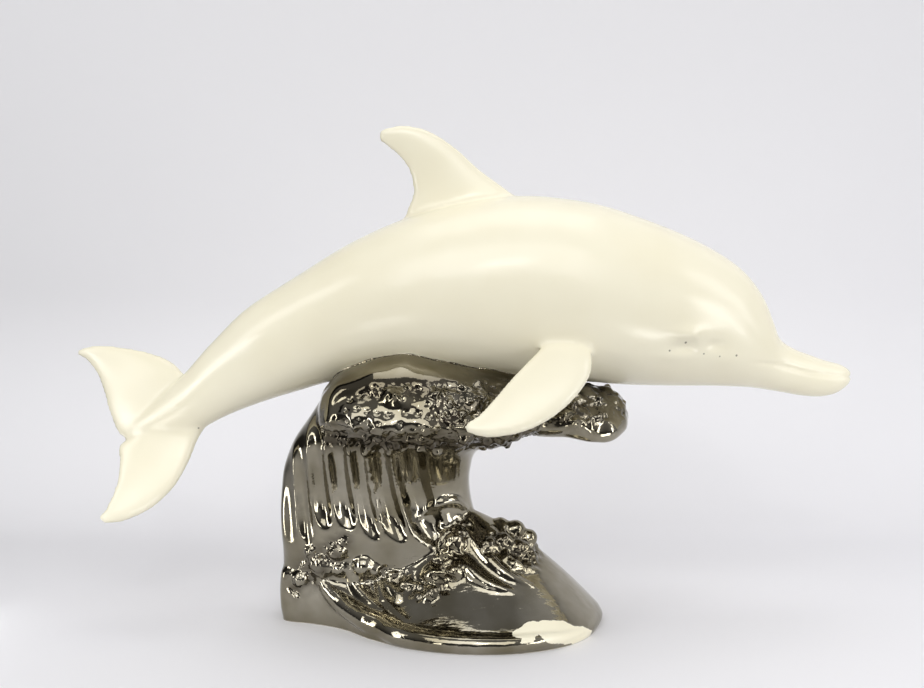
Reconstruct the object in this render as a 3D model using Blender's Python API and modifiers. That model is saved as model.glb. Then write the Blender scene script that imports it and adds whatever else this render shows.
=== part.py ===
"""Ceramic dolphin figurine: a dolphin leaping over a curling wave, slip-cast and fired as one piece.

The frame is +Z up, +X towards the beak and -Y towards the side that faces the room. The origin is on
the flat underside of the wave, below the middle of the dolphin. Blender works in metres. The tables
below are in millimetres, and MM turns them into metres.
"""

import math
import random

import bmesh
import bpy
import numpy as np
from mathutils import Matrix, Vector, noise
from mathutils.bvhtree import BVHTree

MM = 0.001
COLLECTION = "ceramic_dolphin_figurine"

# How finely the fused figure is meshed, how far the joins are softened, and the faces it keeps
VOXEL = 1.25
SMOOTH_STEPS = 3
FACES_KEPT = 9400
FOOT_DEPTH = 4.0  # how far the wave reaches below the floor before it is cut flat
SEED = 7

# Dolphin body from the tail stem to the beak: back x, back z, belly x, belly z, half width
BODY = [
    (-177, 101.5, -174, 98.5, 1.5),
    (-167, 111, -160, 97.5, 5.0),
    (-155, 122, -142, 100.5, 8.5),
    (-143, 133, -124, 109.5, 11.5),
    (-130, 148, -108, 116, 14.5),
    (-111, 166, -88, 122.5, 19.5),
    (-83, 184, -62, 129.5, 26.0),
    (-55, 201, -38, 132, 32.0),
    (-25, 213.5, -14, 131.5, 37.0),
    (6, 221.5, 10, 130.5, 40.5),
    (35, 223.5, 35, 129.5, 42.0),
    (63, 220.5, 58, 128.5, 41.5),
    (86, 214.5, 79, 127, 39.5),
    (109, 206, 98, 126.2, 36.0),
    (129, 196, 115, 126, 31.5),
    (144, 186, 129, 126, 27.0),
    (154, 174, 140, 125.6, 22.5),
    (160, 160.5, 149, 125.2, 18.0),
    (164, 150.5, 158, 124, 14.0),
    (172, 145, 167, 122.4, 12.0),
    (180, 142, 176, 120.4, 10.8),
    (188, 139.2, 185, 119.8, 9.8),
    (196, 137.2, 193, 121.2, 8.4),
    (200.5, 134.6, 199, 125, 5.6),
    (202.6, 131.4, 202.2, 129.4, 1.2),
]
BODY_RINGS, BODY_SIDES = 120, 56

# Fins and flukes: leading edge x, y, z, trailing edge x, y, z, greatest thickness, from root to tip
DORSAL_FIN = [
    (38, 0, 210, -24, 0, 198, 19.0),
    (28, 0, 222.5, -29, 0, 212, 13.0),
    (10, 0, 236.2, -25, 0, 225, 10.0),
    (-3, 0, 248, -27, 0, 236.5, 8.0),
    (-17, 0, 256.5, -32, 0, 243.5, 6.6),
    (-30, 0, 259.2, -37.5, 0, 248.5, 5.6),
    (-41, 0, 257.2, -42.5, 0, 252, 4.2),
]
PECTORAL_FIN = [
    (60, -22, 150, 40, -22, 156, 14.0),
    (63.5, -36, 143, 39, -35, 150, 11.0),
    (61, -44, 134, 30, -42, 141, 8.6),
    (52, -51, 124, 21, -48, 132, 7.4),
    (40, -56, 115.4, 14, -53, 124.5, 6.4),
    (25, -60, 110, 8, -57, 119, 5.6),
    (11, -62, 109, 3, -60, 116, 4.6),
    (2.5, -62.5, 111.5, 0.8, -62, 114.2, 3.6),
]
UPPER_FLUKE = [
    (-130, 0, 112, -168, 0, 99, 15.0),
    (-142, 3, 127, -178, 1, 99, 10.5),
    (-152, 8, 137, -184.5, 5, 110, 8.6),
    (-166.5, 13, 142.2, -189, 10, 121, 7.2),
    (-183, 17, 144.8, -193.5, 14, 130, 6.0),
    (-197, 19, 145, -200, 17.5, 137, 5.0),
    (-205.5, 20, 142.6, -206, 19.5, 139.5, 3.8),
]
LOWER_FLUKE = [
    (-128, 0, 112, -168, 0, 99, 15.0),
    (-135.5, -3, 101.5, -178, -2, 95, 10.5),
    (-140.5, -9, 87.5, -177.5, -6, 88.5, 8.6),
    (-147, -14, 75, -177, -11, 80, 7.2),
    (-157.5, -17, 65, -178.5, -15, 72.5, 6.0),
    (-170.5, -19, 59.2, -181, -18, 65.5, 5.0),
    (-181, -20, 57.6, -184.5, -19.5, 60.6, 3.8),
]
BLADE_RINGS, BLADE_SIDES = 34, 28
BLADE_BLUNTNESS = 0.75  # 1 has an elliptic section, less has blunter edges
BLADE_LEAD, BLADE_FALL = 1.1, 0.4  # thickness at the leading edge, and how much of it is lost behind

# Forms of each cheek, a brow over two hollows: x, z, half length, half height, how far they stand out
FACE_FORMS = [
    (111.7, 155.6, 8.0, 3.4, 1.9),
    (109.6, 148.2, 6.0, 2.6, -1.5),
    (125.2, 149.2, 5.5, 2.6, -1.4),
    (117.6, 149.2, 2.2, 3.2, 0.5),
    (104.0, 144.0, 9.0, 3.0, 0.5),
    (131.0, 142.0, 9.0, 4.0, 0.6),
]
# The mouth line on each cheek, x and z, from its corner to the beak's tip
MOUTH = [(141, 139.8), (150, 139.3), (160, 138), (169.5, 135.6), (178, 133.6), (190, 132.4), (203, 130.6)]
MOUTH_DEPTH, MOUTH_WIDTH = 1.5, 1.3
MOUTH_TAPER = 22.0  # over this length the line deepens from its corner
MOUTH_STEPS = 80

# Outline of the wave's foot on the floor, x and y, anticlockwise seen from above
FOOT_OUTLINE = [
    (-95.5, 3), (-78, -4), (-62, -13), (-46, -29), (-26, -42), (-2, -49), (24, -50), (46, -43),
    (62, -29), (71.5, -9), (74.5, 11), (66, 31), (40, 43), (0, 46), (-45, 42), (-80, 36), (-94, 21),
]
FOOT_MIDDLE = (-10, 2)
FOOT_SIDES = 140
RIM_HEIGHT, RIM_HEIGHT_LEFT = 5.5, 27.0  # the rim stands higher at the left end of the foot
RIM_RISE = (-38, -82)  # between these x it rises from the one height to the other
MOUND_HEIGHT = 64.0
SLOPE_SHARES = np.linspace(0.98, 0.04, 26)  # where the foot's slope is read, from rim to middle
HOLLOW_POWER, FULL_POWER = 1.4, 1.6  # how hollow the slope is in front, and how full at the toe
# The edge of the foot, from below the floor: share of the rim's height, share of the outline
FOOT_EDGE = [(0.0, 0.985), (0.25, 1.0), (0.6, 1.004), (0.85, 0.998), (1.0, 0.99)]

# Wall of water, upwards: height, left end, right end, near face, far face
WALL = [
    (-FOOT_DEPTH, -96, 20, -4, 38),
    (10, -97, 22, -6, 38),
    (22, -96, 24, -9, 38),
    (35, -95.5, 18, -11, 37),
    (48, -96, 11, -14, 35),
    (60, -96, 6, -15, 33),
    (72, -95, 4, -17, 33),
    (82, -93.5, 4.5, -21.5, 33),
    (92, -90, 8, -28.5, 35),
    (100, -86, 22, -35, 37),
    (110, -79, 36, -38, 38),
    (120, -72.5, 40, -38, 38),
    (128, -67, 38, -34, 34),
    (137, -54, 25, -26, 28),
]
WALL_RINGS, WALL_SIDES = 90, 280
WALL_SQUARENESS = 2.5  # 2 is an ellipse, more is boxier
# The ribs between the flutes, by x under the crest, and the height of each flute's lower end
RIBS = [-95.5, -86.5, -78, -68, -56.5, -47, -35, -17.5]
FLUTE_FEET = [42, 43, 53, 53, 47, 46, 41]
FLUTE_TOP = 96
FLUTE_END = 15.0  # over this height a flute fades out at its lower end
FLUTE_LEAN = 0.2  # how far a flute's foot strays towards +X, as a share of its way along the wall
FLUTE_DEPTH_SHARE = 0.42  # depth of a flute as a share of its width
FLUTE_ROUNDNESS = 1.0  # 0.5 is a round groove between sharp ribs, more has softer ribs
FAR_FLUTE_SHARE = 0.7  # the flutes on the far side are shallower

# Foaming crest under the dolphin, along x: x, centre z, half height, centre y, half depth
CREST = [
    (-73, 112, 5, -4, 16),
    (-69, 116, 11, -5, 29),
    (-60, 120, 15.5, -6, 37),
    (-45, 122.5, 20, -6, 41),
    (-28, 123.5, 22.5, -6, 42),
    (-10, 121.5, 20.5, -6, 42),
    (8, 118.5, 19, -5, 41),
    (24, 115.5, 16.5, -4, 37),
    (36, 115.5, 12.5, -3, 33),
    (50, 114.6, 12.2, -2, 31),
    (64, 112.8, 13.2, -1, 29),
    (76, 112, 12.4, 0, 24),
    (83, 111.2, 8.5, 0, 17),
    (86, 111, 2, 0, 5),
]
CREST_RINGS, CREST_SIDES = 90, 64
CREST_SQUARENESS = 3.0  # 2 is an ellipse, more is boxier
CREST_TILT = 0.52  # how much the crest's front leans back, as a slope
LUMP_HEIGHT, LUMP_SIZE = 5.5, 11.0
LUMP_FULL = 20.0  # half height of the crest at which its lumps have their full height
SMOOTH_TOP, SMOOTH_SHARE = (126, 134), 0.85  # between these heights most of each lump fades out

# Swells that run down the foot, seen from the front: points of x, z and radius
SWELLS = [
    [(-77, 28, 0.5), (-73, 23, 3), (-67, 17, 4.6), (-60, 12.5, 5.4), (-47, 8.5, 5.6), (-33, 5.5, 5.6),
     (-17, 4.6, 5.2), (0, 4.2, 5), (20, 4.4, 4.6), (40, 5, 3.8), (56, 5, 2), (64, 5, 0.4)],
    [(-60, 36, 0.5), (-58.5, 31, 2.2), (-55, 22, 3.4), (-48.5, 16.5, 4), (-41, 12.6, 3.4), (-30, 9.6, 0.6)],
    [(-43, 31, 0.6), (-42, 22, 2.8), (-37.5, 15.5, 3.2), (-27, 11, 0.6)],
    [(-42, 26, 0.6), (-36, 22.6, 2.2), (-32, 19, 2.6), (-36, 14.6, 0.8)],
    [(-7, 45, 0.5), (-4, 41, 2.4), (3, 35, 3.6), (10, 30, 3.4), (18, 27, 2.4), (28, 25, 0.5)],
    [(4, 50, 0.5), (7, 46, 2), (14, 38.5, 3.2), (22, 32.5, 3), (31, 28.5, 1.6), (38, 26, 0.4)],
    [(18, 42, 0.5), (24, 37, 2.2), (30, 34.6, 2.6), (41, 31.5, 0.6)],
    [(-25, 57, 0.5), (-18, 61.5, 2), (-11, 66.5, 2.8), (-4, 66.5, 2.8), (3, 61, 1)],
]
SWELL_STEPS, ROD_SIDES = 40, 12
SWELL_SUNK = 0.35  # how far a swell sits in the wave, as a share of its radius
# Domes of foam seen from the front: x, z, radius
DOMES = [
    (-51, 33, 6.4), (-45.5, 30.5, 4.4), (-53.5, 27, 3.8), (-3.5, 44.5, 7.2), (-3.5, 32.5, 6.2),
    (-14.5, 30, 6.0), (-15.5, 22.5, 4.2), (-73, 33, 7.0), (-84, 24, 5.2), (-64, 41, 5.4),
    (-63, 31, 4.2), (-78, 40, 4.0), (13.5, 44.5, 4.8), (21, 46, 5.0), (29.5, 42, 5.6), (35, 38, 4.4),
    (26, 36, 3.6), (-10, 53, 3.2), (-1.5, 54, 3.2), (-36, 27.5, 3.4), (-28, 25, 3.2),
]
DOME_SUNK = 0.3  # how far a dome sits in the wave, as a share of its radius
KNOBS = [(20, 2, 50.5, 5.5), (28, 2, 49, 5.6), (35, 3, 44.5, 5.0)]  # foam on the ridge: x, y, z, radius
# Rings of foam seen from the front: x, z, radius and thickness. They face the room and a little up
RINGS = [(-3.5, 44.5, 8.0, 1.7), (-3.5, 32.5, 6.8, 1.6)]
RING_STEPS = 20
RING_FACES = (0, -1, 0.35)
# Banks of small bubbles, seen from the front: points of x, z and spread, then how many bubbles
FOAM_BANKS = [
    ([(-88, 18, 3), (-82, 26, 6), (-73, 34, 6), (-60, 46, 4)], 18),
    ([(-40, 30, 3), (-34, 27, 3), (-26, 26, 2)], 6),
    ([(-24, 23, 4), (-14, 27, 6), (-7, 38, 6), (1, 54, 4)], 16),
    ([(12, 46, 3), (20, 46, 5), (29, 43, 5), (37, 38, 4)], 12),
]
BUBBLE_SIZES = (2.0, 3.2)
RAY_START = -200.0  # y from which rays look for the wave's near side
PULL_IN = 0.97  # the step by which a place beside the wave moves in until it meets it

CERAMIC = ("ivory_glaze", (0.93, 0.9, 0.74, 1), 0.0, 0.12)
LUSTRE = ("platinum_lustre", (0.3, 0.28, 0.24, 1), 1.0, 0.15)


def clear_scene():
    """Removes the objects of the startup scene and adds the figurine's collection."""
    for obj in list(bpy.data.objects):
        bpy.data.objects.remove(obj)
    bpy.context.scene.collection.children.link(bpy.data.collections.new(COLLECTION))


def material(name, colour, metallic, roughness):
    """A Principled material."""
    made = bpy.data.materials.new(name)
    made.use_nodes = True
    shader = made.node_tree.nodes["Principled BSDF"]
    shader.inputs["Base Color"].default_value = colour
    shader.inputs["Metallic"].default_value = metallic
    shader.inputs["Roughness"].default_value = roughness
    return made


def smooth_rows(rows, count, closed=False):
    """Reads count rows from a smooth curve through the given rows."""
    rows = np.array(rows, float)
    if closed:
        padded = np.vstack([rows[-1], rows, rows[:2]])
    else:
        padded = np.vstack([2 * rows[0] - rows[1], rows, 2 * rows[-1] - rows[-2]])
    spans = len(padded) - 3
    read = []
    for t in np.linspace(0, spans, count, endpoint=not closed):
        i = min(int(t), spans - 1)
        u = t - i
        a, b, c, d = padded[i : i + 4]
        curve = 2 * b + (c - a) * u + (2 * a - 5 * b + 4 * c - d) * u**2 + (3 * b - a - 3 * c + d) * u**3
        read.append(curve / 2)
    return np.array(read)


def linked(name, mesh):
    """An object for a mesh, in the figurine's collection."""
    obj = bpy.data.objects.new(name, mesh)
    bpy.data.collections[COLLECTION].objects.link(obj)
    return obj


def loft(name, rings, ends="capped"):
    """A closed skin through rings of points in millimetres, with its two ends capped or joined."""
    mesh = bpy.data.meshes.new(name)
    bm = bmesh.new()
    loops = [[bm.verts.new(Vector(point) * MM) for point in ring] for ring in rings]
    sides = len(loops[0])
    following = loops[1:] + loops[:1] if ends == "joined" else loops[1:]
    for lower, upper in zip(loops, following):
        for i in range(sides):
            j = (i + 1) % sides
            bm.faces.new((lower[i], lower[j], upper[j], upper[i]))
    if ends == "capped":
        bm.faces.new(loops[0])
        bm.faces.new(loops[-1])
    bmesh.ops.recalc_face_normals(bm, faces=bm.faces)
    bm.to_mesh(mesh)
    bm.free()
    return linked(name, mesh)


def turns(count):
    """Angles round a circle."""
    return np.linspace(0, math.tau, count, endpoint=False)


def body():
    """The dolphin without its fins, in oval sections from its back line to its belly line."""
    rings = []
    for back_x, back_z, belly_x, belly_z, half_width in smooth_rows(BODY, BODY_RINGS):
        middle = np.array([(back_x + belly_x) / 2, 0, (back_z + belly_z) / 2])
        rise = np.array([(back_x - belly_x) / 2, 0, (back_z - belly_z) / 2])
        side = np.array([0, half_width, 0])
        rings.append([middle + rise * math.sin(a) + side * math.cos(a) for a in turns(BODY_SIDES)])
    return loft("body", rings)


def blade(name, table, side=1):
    """A fin or a fluke, in blunt-edged sections across it. side -1 mirrors it in Y."""
    rows = smooth_rows(table, BLADE_RINGS)
    lead, trail, thickness = rows[:, :3], rows[:, 3:6], rows[:, 6]
    span = np.gradient((lead + trail) / 2, axis=0)
    rings = []
    for i in range(BLADE_RINGS):
        chord = trail[i] - lead[i]
        normal = np.cross(span[i], chord)
        normal /= np.linalg.norm(normal)
        ring = []
        for angle in turns(BLADE_SIDES):
            along = 0.5 - 0.5 * math.cos(angle)
            bulge = math.copysign(abs(math.sin(angle)) ** BLADE_BLUNTNESS, math.sin(angle))
            bulge *= (BLADE_LEAD - BLADE_FALL * along) * thickness[i] / 2
            point = lead[i] + chord * along + normal * bulge
            ring.append((point[0], side * point[1], point[2]))
        rings.append(ring)
    return loft(name, rings)


def face_relief(x, z, line):
    """How far the skin of a cheek stands out at an x and a z, in millimetres."""
    height = 0.0
    for middle_x, middle_z, half_length, half_height, rise in FACE_FORMS:
        away = ((x - middle_x) / half_length) ** 2 + ((z - middle_z) / half_height) ** 2
        height += rise * math.exp(-away)
    past_corner = min(max((x - line[0][0]) / MOUTH_TAPER, 0), 1)
    gap = np.hypot(line[:, 0] - x, line[:, 1] - z).min()
    return height - MOUTH_DEPTH * past_corner * math.exp(-((gap / MOUTH_WIDTH) ** 2))


def model_face(obj):
    """Raises the brows and presses in the eyes and the mouth line of the fused figure."""
    line = smooth_rows(MOUTH, MOUTH_STEPS)
    face_start = min(x - 3 * half_length for x, _, half_length, _, _ in FACE_FORMS) * MM
    face = [v for v in obj.data.vertices if v.co.x > face_start]
    for vertex, normal in zip(face, [v.normal.copy() for v in face]):
        vertex.co += normal * face_relief(vertex.co.x / MM, vertex.co.z / MM, line) * MM


def fade(value, start, end):
    """0 before start, 1 after end and a soft S between them."""
    share = min(max((value - start) / (end - start), 0), 1)
    return share * share * (3 - 2 * share)


def rim_height(x):
    """How high the rim of the foot stands at an x."""
    start, end = RIM_RISE
    return RIM_HEIGHT + (RIM_HEIGHT_LEFT - RIM_HEIGHT) * fade(x, start, end)


def foot():
    """The foot of the wave: a rounded rim, then a slope that is hollow in front and full at the toe."""
    outline = smooth_rows(FOOT_OUTLINE, FOOT_SIDES, closed=True)
    middle = np.array(FOOT_MIDDLE)
    rings = [[(*(middle + (p - middle) * FOOT_EDGE[0][1]), -FOOT_DEPTH) for p in outline]]
    for up, share in FOOT_EDGE:
        rings.append([(*(middle + (p - middle) * share), up * rim_height(p[0])) for p in outline])
    for share in SLOPE_SHARES:
        ring = []
        for p in outline:
            rim = rim_height(p[0])
            out = (p - middle) / np.linalg.norm(p - middle)
            toe = max(out[0], 0) ** 2
            climb = (1 - toe) * (1 - share) ** HOLLOW_POWER + toe * (1 - share**FULL_POWER)
            ring.append((*(middle + (p - middle) * share), rim + (MOUND_HEIGHT - rim) * climb))
        rings.append(ring)
    return loft("foot", rings)


def flute_depth(x, height):
    """How deep a flute cuts at an x and a height, in millimetres."""
    down = min(max((FLUTE_TOP - height) / (FLUTE_TOP - min(FLUTE_FEET)), 0), 1)
    along = RIBS[0] + (x - RIBS[0]) * (1 - FLUTE_LEAN * down**2)
    for left, right, floor in zip(RIBS, RIBS[1:], FLUTE_FEET):
        if left <= along < right:
            half = (right - left) / 2
            across = (along - left) / half - 1
            below = min(height - floor - FLUTE_END, 0) / FLUTE_END
            open_share = max(1 - across**2 - below**2, 0)
            return 2 * half * FLUTE_DEPTH_SHARE * open_share**FLUTE_ROUNDNESS
    return 0.0


def wall():
    """The standing wall of water with its flutes, in level sections."""
    power = 2 / WALL_SQUARENESS
    rings = []
    for height, left, right, near, far in smooth_rows(WALL, WALL_RINGS):
        middle_x, half_x = (left + right) / 2, (right - left) / 2
        middle_y, half_y = (near + far) / 2, (far - near) / 2
        ring = []
        for angle in turns(WALL_SIDES):
            across, back = math.cos(angle), math.sin(angle)
            x = middle_x + math.copysign(abs(across) ** power, across) * half_x
            y = middle_y + math.copysign(abs(back) ** power, back) * half_y
            facing = abs(back) ** (2 - power) / half_y
            facing /= math.hypot(abs(across) ** (2 - power) / half_x, facing)
            cut = facing * flute_depth(x, height)
            cut *= FAR_FLUTE_SHARE if back > 0 else 1
            ring.append((x, y - math.copysign(cut, back), height))
        rings.append(ring)
    return loft("wall", rings)


def crest():
    """The foaming crest, a lumpy beam along the dolphin's belly."""
    rings = []
    for x, z, half_height, y, half_depth in smooth_rows(CREST, CREST_RINGS):
        ring = []
        for angle in turns(CREST_SIDES):
            out = np.array([0, math.cos(angle), math.sin(angle)])
            square = np.sign(out) * abs(out) ** (2 / CREST_SQUARENESS) * (0, half_depth, half_height)
            point = np.array([x, y, z]) + square
            point[1] += CREST_TILT * max(-out[1], 0) * square[2]
            lump = noise.noise(Vector(point) / LUMP_SIZE) * LUMP_HEIGHT * min(half_height / LUMP_FULL, 1)
            lump *= 1 - SMOOTH_SHARE * fade(point[2], *SMOOTH_TOP)
            ring.append(point + out * lump)
        rings.append(ring)
    return loft("crest", rings)


def front_of(obj):
    """A function that finds the point of an object's near side at an x and a z."""
    tree = BVHTree.FromObject(obj, bpy.context.evaluated_depsgraph_get())

    def find(x, z):
        point = None
        while point is None:
            point = tree.ray_cast(Vector((x, RAY_START, z)) * MM, Vector((0, 1, 0)))[0]
            x, z = x * PULL_IN, z * PULL_IN
        return point / MM

    return find


def swell(index, points, front):
    """A rounded ridge that tapers along a path on the wave's near side."""
    rows = smooth_rows(points, SWELL_STEPS)
    places = np.array([front(x, max(z, 1)) for x, z, _ in rows])
    run = np.gradient(places, axis=0)
    rings = []
    for place, direction, radius in zip(places, run, rows[:, 2]):
        turn = Vector(direction).to_track_quat("Z", "Y").to_matrix()
        ring = [turn @ Vector((math.cos(a), math.sin(a), 0)) * radius for a in turns(ROD_SIDES)]
        sunk = Vector(place) + Vector((0, SWELL_SUNK * radius, 0))
        rings.append([sunk + point for point in ring])
    return loft(f"swell_{index}", rings)


def foam_ring(index, x, z, radius, thickness, front):
    """A ring of foam that lies on the wave's near side."""
    place = front(x, z)
    turn = Vector(RING_FACES).to_track_quat("Z", "Y").to_matrix()
    up = Vector((0, 0, 1))
    rings = []
    for around in turns(RING_STEPS):
        out = Vector((math.cos(around), math.sin(around), 0))
        tube = [out * math.cos(a) + up * math.sin(a) for a in turns(ROD_SIDES)]
        rings.append([place + turn @ (out * radius + point * thickness) for point in tube])
    return loft(f"ring_{index}", rings, ends="joined")


def bubbles(name, rows):
    """Round bubbles in one mesh, from rows of a place and a radius in millimetres."""
    mesh = bpy.data.meshes.new(name)
    bm = bmesh.new()
    for place, radius in rows:
        matrix = Matrix.Translation(Vector(place) * MM)
        bmesh.ops.create_icosphere(bm, subdivisions=3, radius=radius * MM, matrix=matrix)
    bm.to_mesh(mesh)
    bm.free()
    return linked(name, mesh)


def domes(front):
    """The large domes of foam on the wave's near side and on its ridge."""
    rows = [(front(x, z) + Vector((0, DOME_SUNK * radius, 0)), radius) for x, z, radius in DOMES]
    return bubbles("domes", rows + [(row[:3], row[3]) for row in KNOBS])


def foam_bank(index, points, count, front):
    """A bank of small bubbles strewn along a path on the wave's near side."""
    dice = random.Random(SEED + index)
    rows = []
    for x, z, spread in smooth_rows(points, count):
        place = front(x + dice.uniform(-spread, spread), z + dice.uniform(-spread, spread))
        rows.append((place, dice.uniform(*BUBBLE_SIZES)))
    return bubbles(f"foam_{index}", rows)


def joined(name, objects):
    """One object from several, whose shapes still overlap."""
    with bpy.context.temp_override(active_object=objects[0], selected_editable_objects=objects):
        bpy.ops.object.join()
    objects[0].name = objects[0].data.name = name
    return objects[0]


def evaluated(obj):
    """Applies an object's modifiers to its mesh."""
    graph = bpy.context.evaluated_depsgraph_get()
    mesh = bpy.data.meshes.new_from_object(obj.evaluated_get(graph))
    obj.modifiers.clear()
    obj.data = mesh


def fuse(obj):
    """Runs the overlapping shapes into one skin, as casting slip does, and softens the joins."""
    remesh = obj.modifiers.new("fuse", "REMESH")
    remesh.mode = "VOXEL"
    remesh.voxel_size = VOXEL * MM
    soften = obj.modifiers.new("soften", "SMOOTH")
    soften.factor = 0.5
    soften.iterations = SMOOTH_STEPS
    evaluated(obj)


def lighten(obj):
    """Thins the skin to a fixed number of faces, most of them where the surface bends."""
    thin = obj.modifiers.new("lighten", "DECIMATE")
    thin.ratio = FACES_KEPT / sum(len(face.vertices) - 2 for face in obj.data.polygons)
    evaluated(obj)


def cut_flat(obj):
    """Cuts the figure off at the floor and closes it with one flat face."""
    bm = bmesh.new()
    bm.from_mesh(obj.data)
    geometry = bm.verts[:] + bm.edges[:] + bm.faces[:]
    floor = {"plane_co": (0, 0, 0), "plane_no": (0, 0, -1)}
    cut = bmesh.ops.bisect_plane(bm, geom=geometry, clear_outer=True, **floor)
    rim = [part for part in cut["geom_cut"] if isinstance(part, bmesh.types.BMEdge)]
    bmesh.ops.contextual_create(bm, geom=rim)
    bmesh.ops.recalc_face_normals(bm, faces=bm.faces)
    bm.to_mesh(obj.data)
    bm.free()


def main():
    clear_scene()
    dolphin = joined(
        "dolphin",
        [
            body(),
            blade("dorsal_fin", DORSAL_FIN),
            blade("pectoral_fin_near", PECTORAL_FIN),
            blade("pectoral_fin_far", PECTORAL_FIN, side=-1),
            blade("fluke_upper", UPPER_FLUKE),
            blade("fluke_lower", LOWER_FLUKE),
        ],
    )
    water = joined("water", [foot(), wall()])
    front = front_of(water)
    details = [swell(i, points, front) for i, points in enumerate(SWELLS)]
    details += [foam_ring(i, *row, front) for i, row in enumerate(RINGS)]
    details.append(domes(front))
    details += [foam_bank(i, points, count, front) for i, (points, count) in enumerate(FOAM_BANKS)]
    wave = joined("wave", [water, crest()] + details)
    graph = bpy.context.evaluated_depsgraph_get()
    ivory, silver = BVHTree.FromObject(dolphin, graph), BVHTree.FromObject(wave, graph)
    figure = joined("dolphin_figurine", [dolphin, wave])
    fuse(figure)
    model_face(figure)
    lighten(figure)
    cut_flat(figure)
    figure.data.materials.clear()
    figure.data.materials.append(material(*CERAMIC))
    figure.data.materials.append(material(*LUSTRE))
    for face in figure.data.polygons:
        on_wave = silver.find_nearest(face.center)[3] < ivory.find_nearest(face.center)[3]
        face.material_index = int(on_wave)
        face.use_smooth = True


main()
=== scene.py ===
# %% [markdown]
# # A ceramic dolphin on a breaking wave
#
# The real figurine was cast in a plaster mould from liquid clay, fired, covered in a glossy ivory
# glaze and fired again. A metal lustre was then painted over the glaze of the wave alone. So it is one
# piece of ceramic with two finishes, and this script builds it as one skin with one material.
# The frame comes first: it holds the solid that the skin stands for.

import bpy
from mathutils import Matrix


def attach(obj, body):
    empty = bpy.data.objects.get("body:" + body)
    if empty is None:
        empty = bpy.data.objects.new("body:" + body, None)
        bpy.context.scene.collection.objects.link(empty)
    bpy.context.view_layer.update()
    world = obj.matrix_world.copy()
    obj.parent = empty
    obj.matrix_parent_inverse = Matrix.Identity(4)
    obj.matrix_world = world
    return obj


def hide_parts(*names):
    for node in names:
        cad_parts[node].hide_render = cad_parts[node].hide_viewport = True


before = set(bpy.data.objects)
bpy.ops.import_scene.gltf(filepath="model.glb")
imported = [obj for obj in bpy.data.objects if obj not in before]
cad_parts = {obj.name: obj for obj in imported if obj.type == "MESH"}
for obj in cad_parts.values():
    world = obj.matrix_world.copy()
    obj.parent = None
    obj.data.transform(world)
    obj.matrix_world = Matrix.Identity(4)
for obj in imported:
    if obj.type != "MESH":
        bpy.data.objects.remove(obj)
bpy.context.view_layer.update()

# %% [markdown]
# Sizes below are in millimetres, because that is how a maker measures a figurine, and MM turns them
# into Blender's metres. +X runs towards the beak, -Y towards the room, +Z up.

# %% Tools and units
import math

import bmesh
import bpy
import numpy as np
from mathutils import Matrix, Vector, kdtree, noise
from mathutils.bvhtree import BVHTree

MM = 0.001
FIGURE = "dolphin_figurine"
print("One unit of the tables is", MM, "m")

# %% [markdown]
# The camera stands a little above the wave's foot and looks slightly down at the flank. Its focal
# length and height come from the photograph: the foot's round edge gives the tilt, and the level back
# edge of the table gives the height. It is made first, so that each step can be looked at.

# %% The camera
CAMERA_PLACE = (0.0, -619.0, 201.1)
CAMERA_DIP = 4.953  # degrees below the horizon
FOCAL_LENGTH = 46.753  # on a sensor 36 mm wide

camera_data = bpy.data.cameras.new("camera")
camera_data.sensor_width = 36.0
camera_data.lens = FOCAL_LENGTH
camera_data.clip_start, camera_data.clip_end = 0.01, 20.0
camera = bpy.data.objects.new("camera", camera_data)
camera.location = Vector(CAMERA_PLACE) * MM
camera.rotation_euler = (math.radians(90 - CAMERA_DIP), 0, 0)
bpy.context.scene.collection.objects.link(camera)
bpy.context.scene.camera = camera
print("The camera is", round(camera.location.length, 3), "m from the foot")

# %% [markdown]
# Most of the figure is lofted: a short table gives a few sections, a smooth curve is drawn through
# each column of the table, and a skin is stretched over the sections that it passes through. Sculpting
# by hand would give the same forms, but a table can be read, measured and changed later.

# %% Helpers for lofting


def smooth_rows(rows, count, closed=False):
    """Reads count rows from a smooth curve through the given rows."""
    rows = np.array(rows, float)
    if closed:
        padded = np.vstack([rows[-1], rows, rows[:2]])
    else:
        padded = np.vstack([2 * rows[0] - rows[1], rows, 2 * rows[-1] - rows[-2]])
    spans = len(padded) - 3
    read = []
    for t in np.linspace(0, spans, count, endpoint=not closed):
        i = min(int(t), spans - 1)
        u = t - i
        a, b, c, d = padded[i : i + 4]
        curve = 2 * b + (c - a) * u + (2 * a - 5 * b + 4 * c - d) * u**2 + (3 * b - a - 3 * c + d) * u**3
        read.append(curve / 2)
    return np.array(read)


def turns(count):
    """Angles round a circle."""
    return np.linspace(0, math.tau, count, endpoint=False)


def linked(name, mesh):
    """An object for a mesh, in the scene."""
    obj = bpy.data.objects.new(name, mesh)
    bpy.context.scene.collection.objects.link(obj)
    return obj


def loft(name, rings, ends="capped"):
    """A closed skin through rings of points in millimetres, with its two ends capped or joined."""
    mesh = bpy.data.meshes.new(name)
    bm = bmesh.new()
    loops = [[bm.verts.new(Vector(point) * MM) for point in ring] for ring in rings]
    sides = len(loops[0])
    following = loops[1:] + loops[:1] if ends == "joined" else loops[1:]
    for lower, upper in zip(loops, following):
        for i in range(sides):
            j = (i + 1) % sides
            bm.faces.new((lower[i], lower[j], upper[j], upper[i]))
    if ends == "capped":
        bm.faces.new(loops[0])
        bm.faces.new(loops[-1])
    bmesh.ops.recalc_face_normals(bm, faces=bm.faces)
    bm.to_mesh(mesh)
    bm.free()
    return linked(name, mesh)


print("A test loft has", len(smooth_rows([(0, 1), (1, 2), (2, 2)], 9)), "rows from 3")

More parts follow.
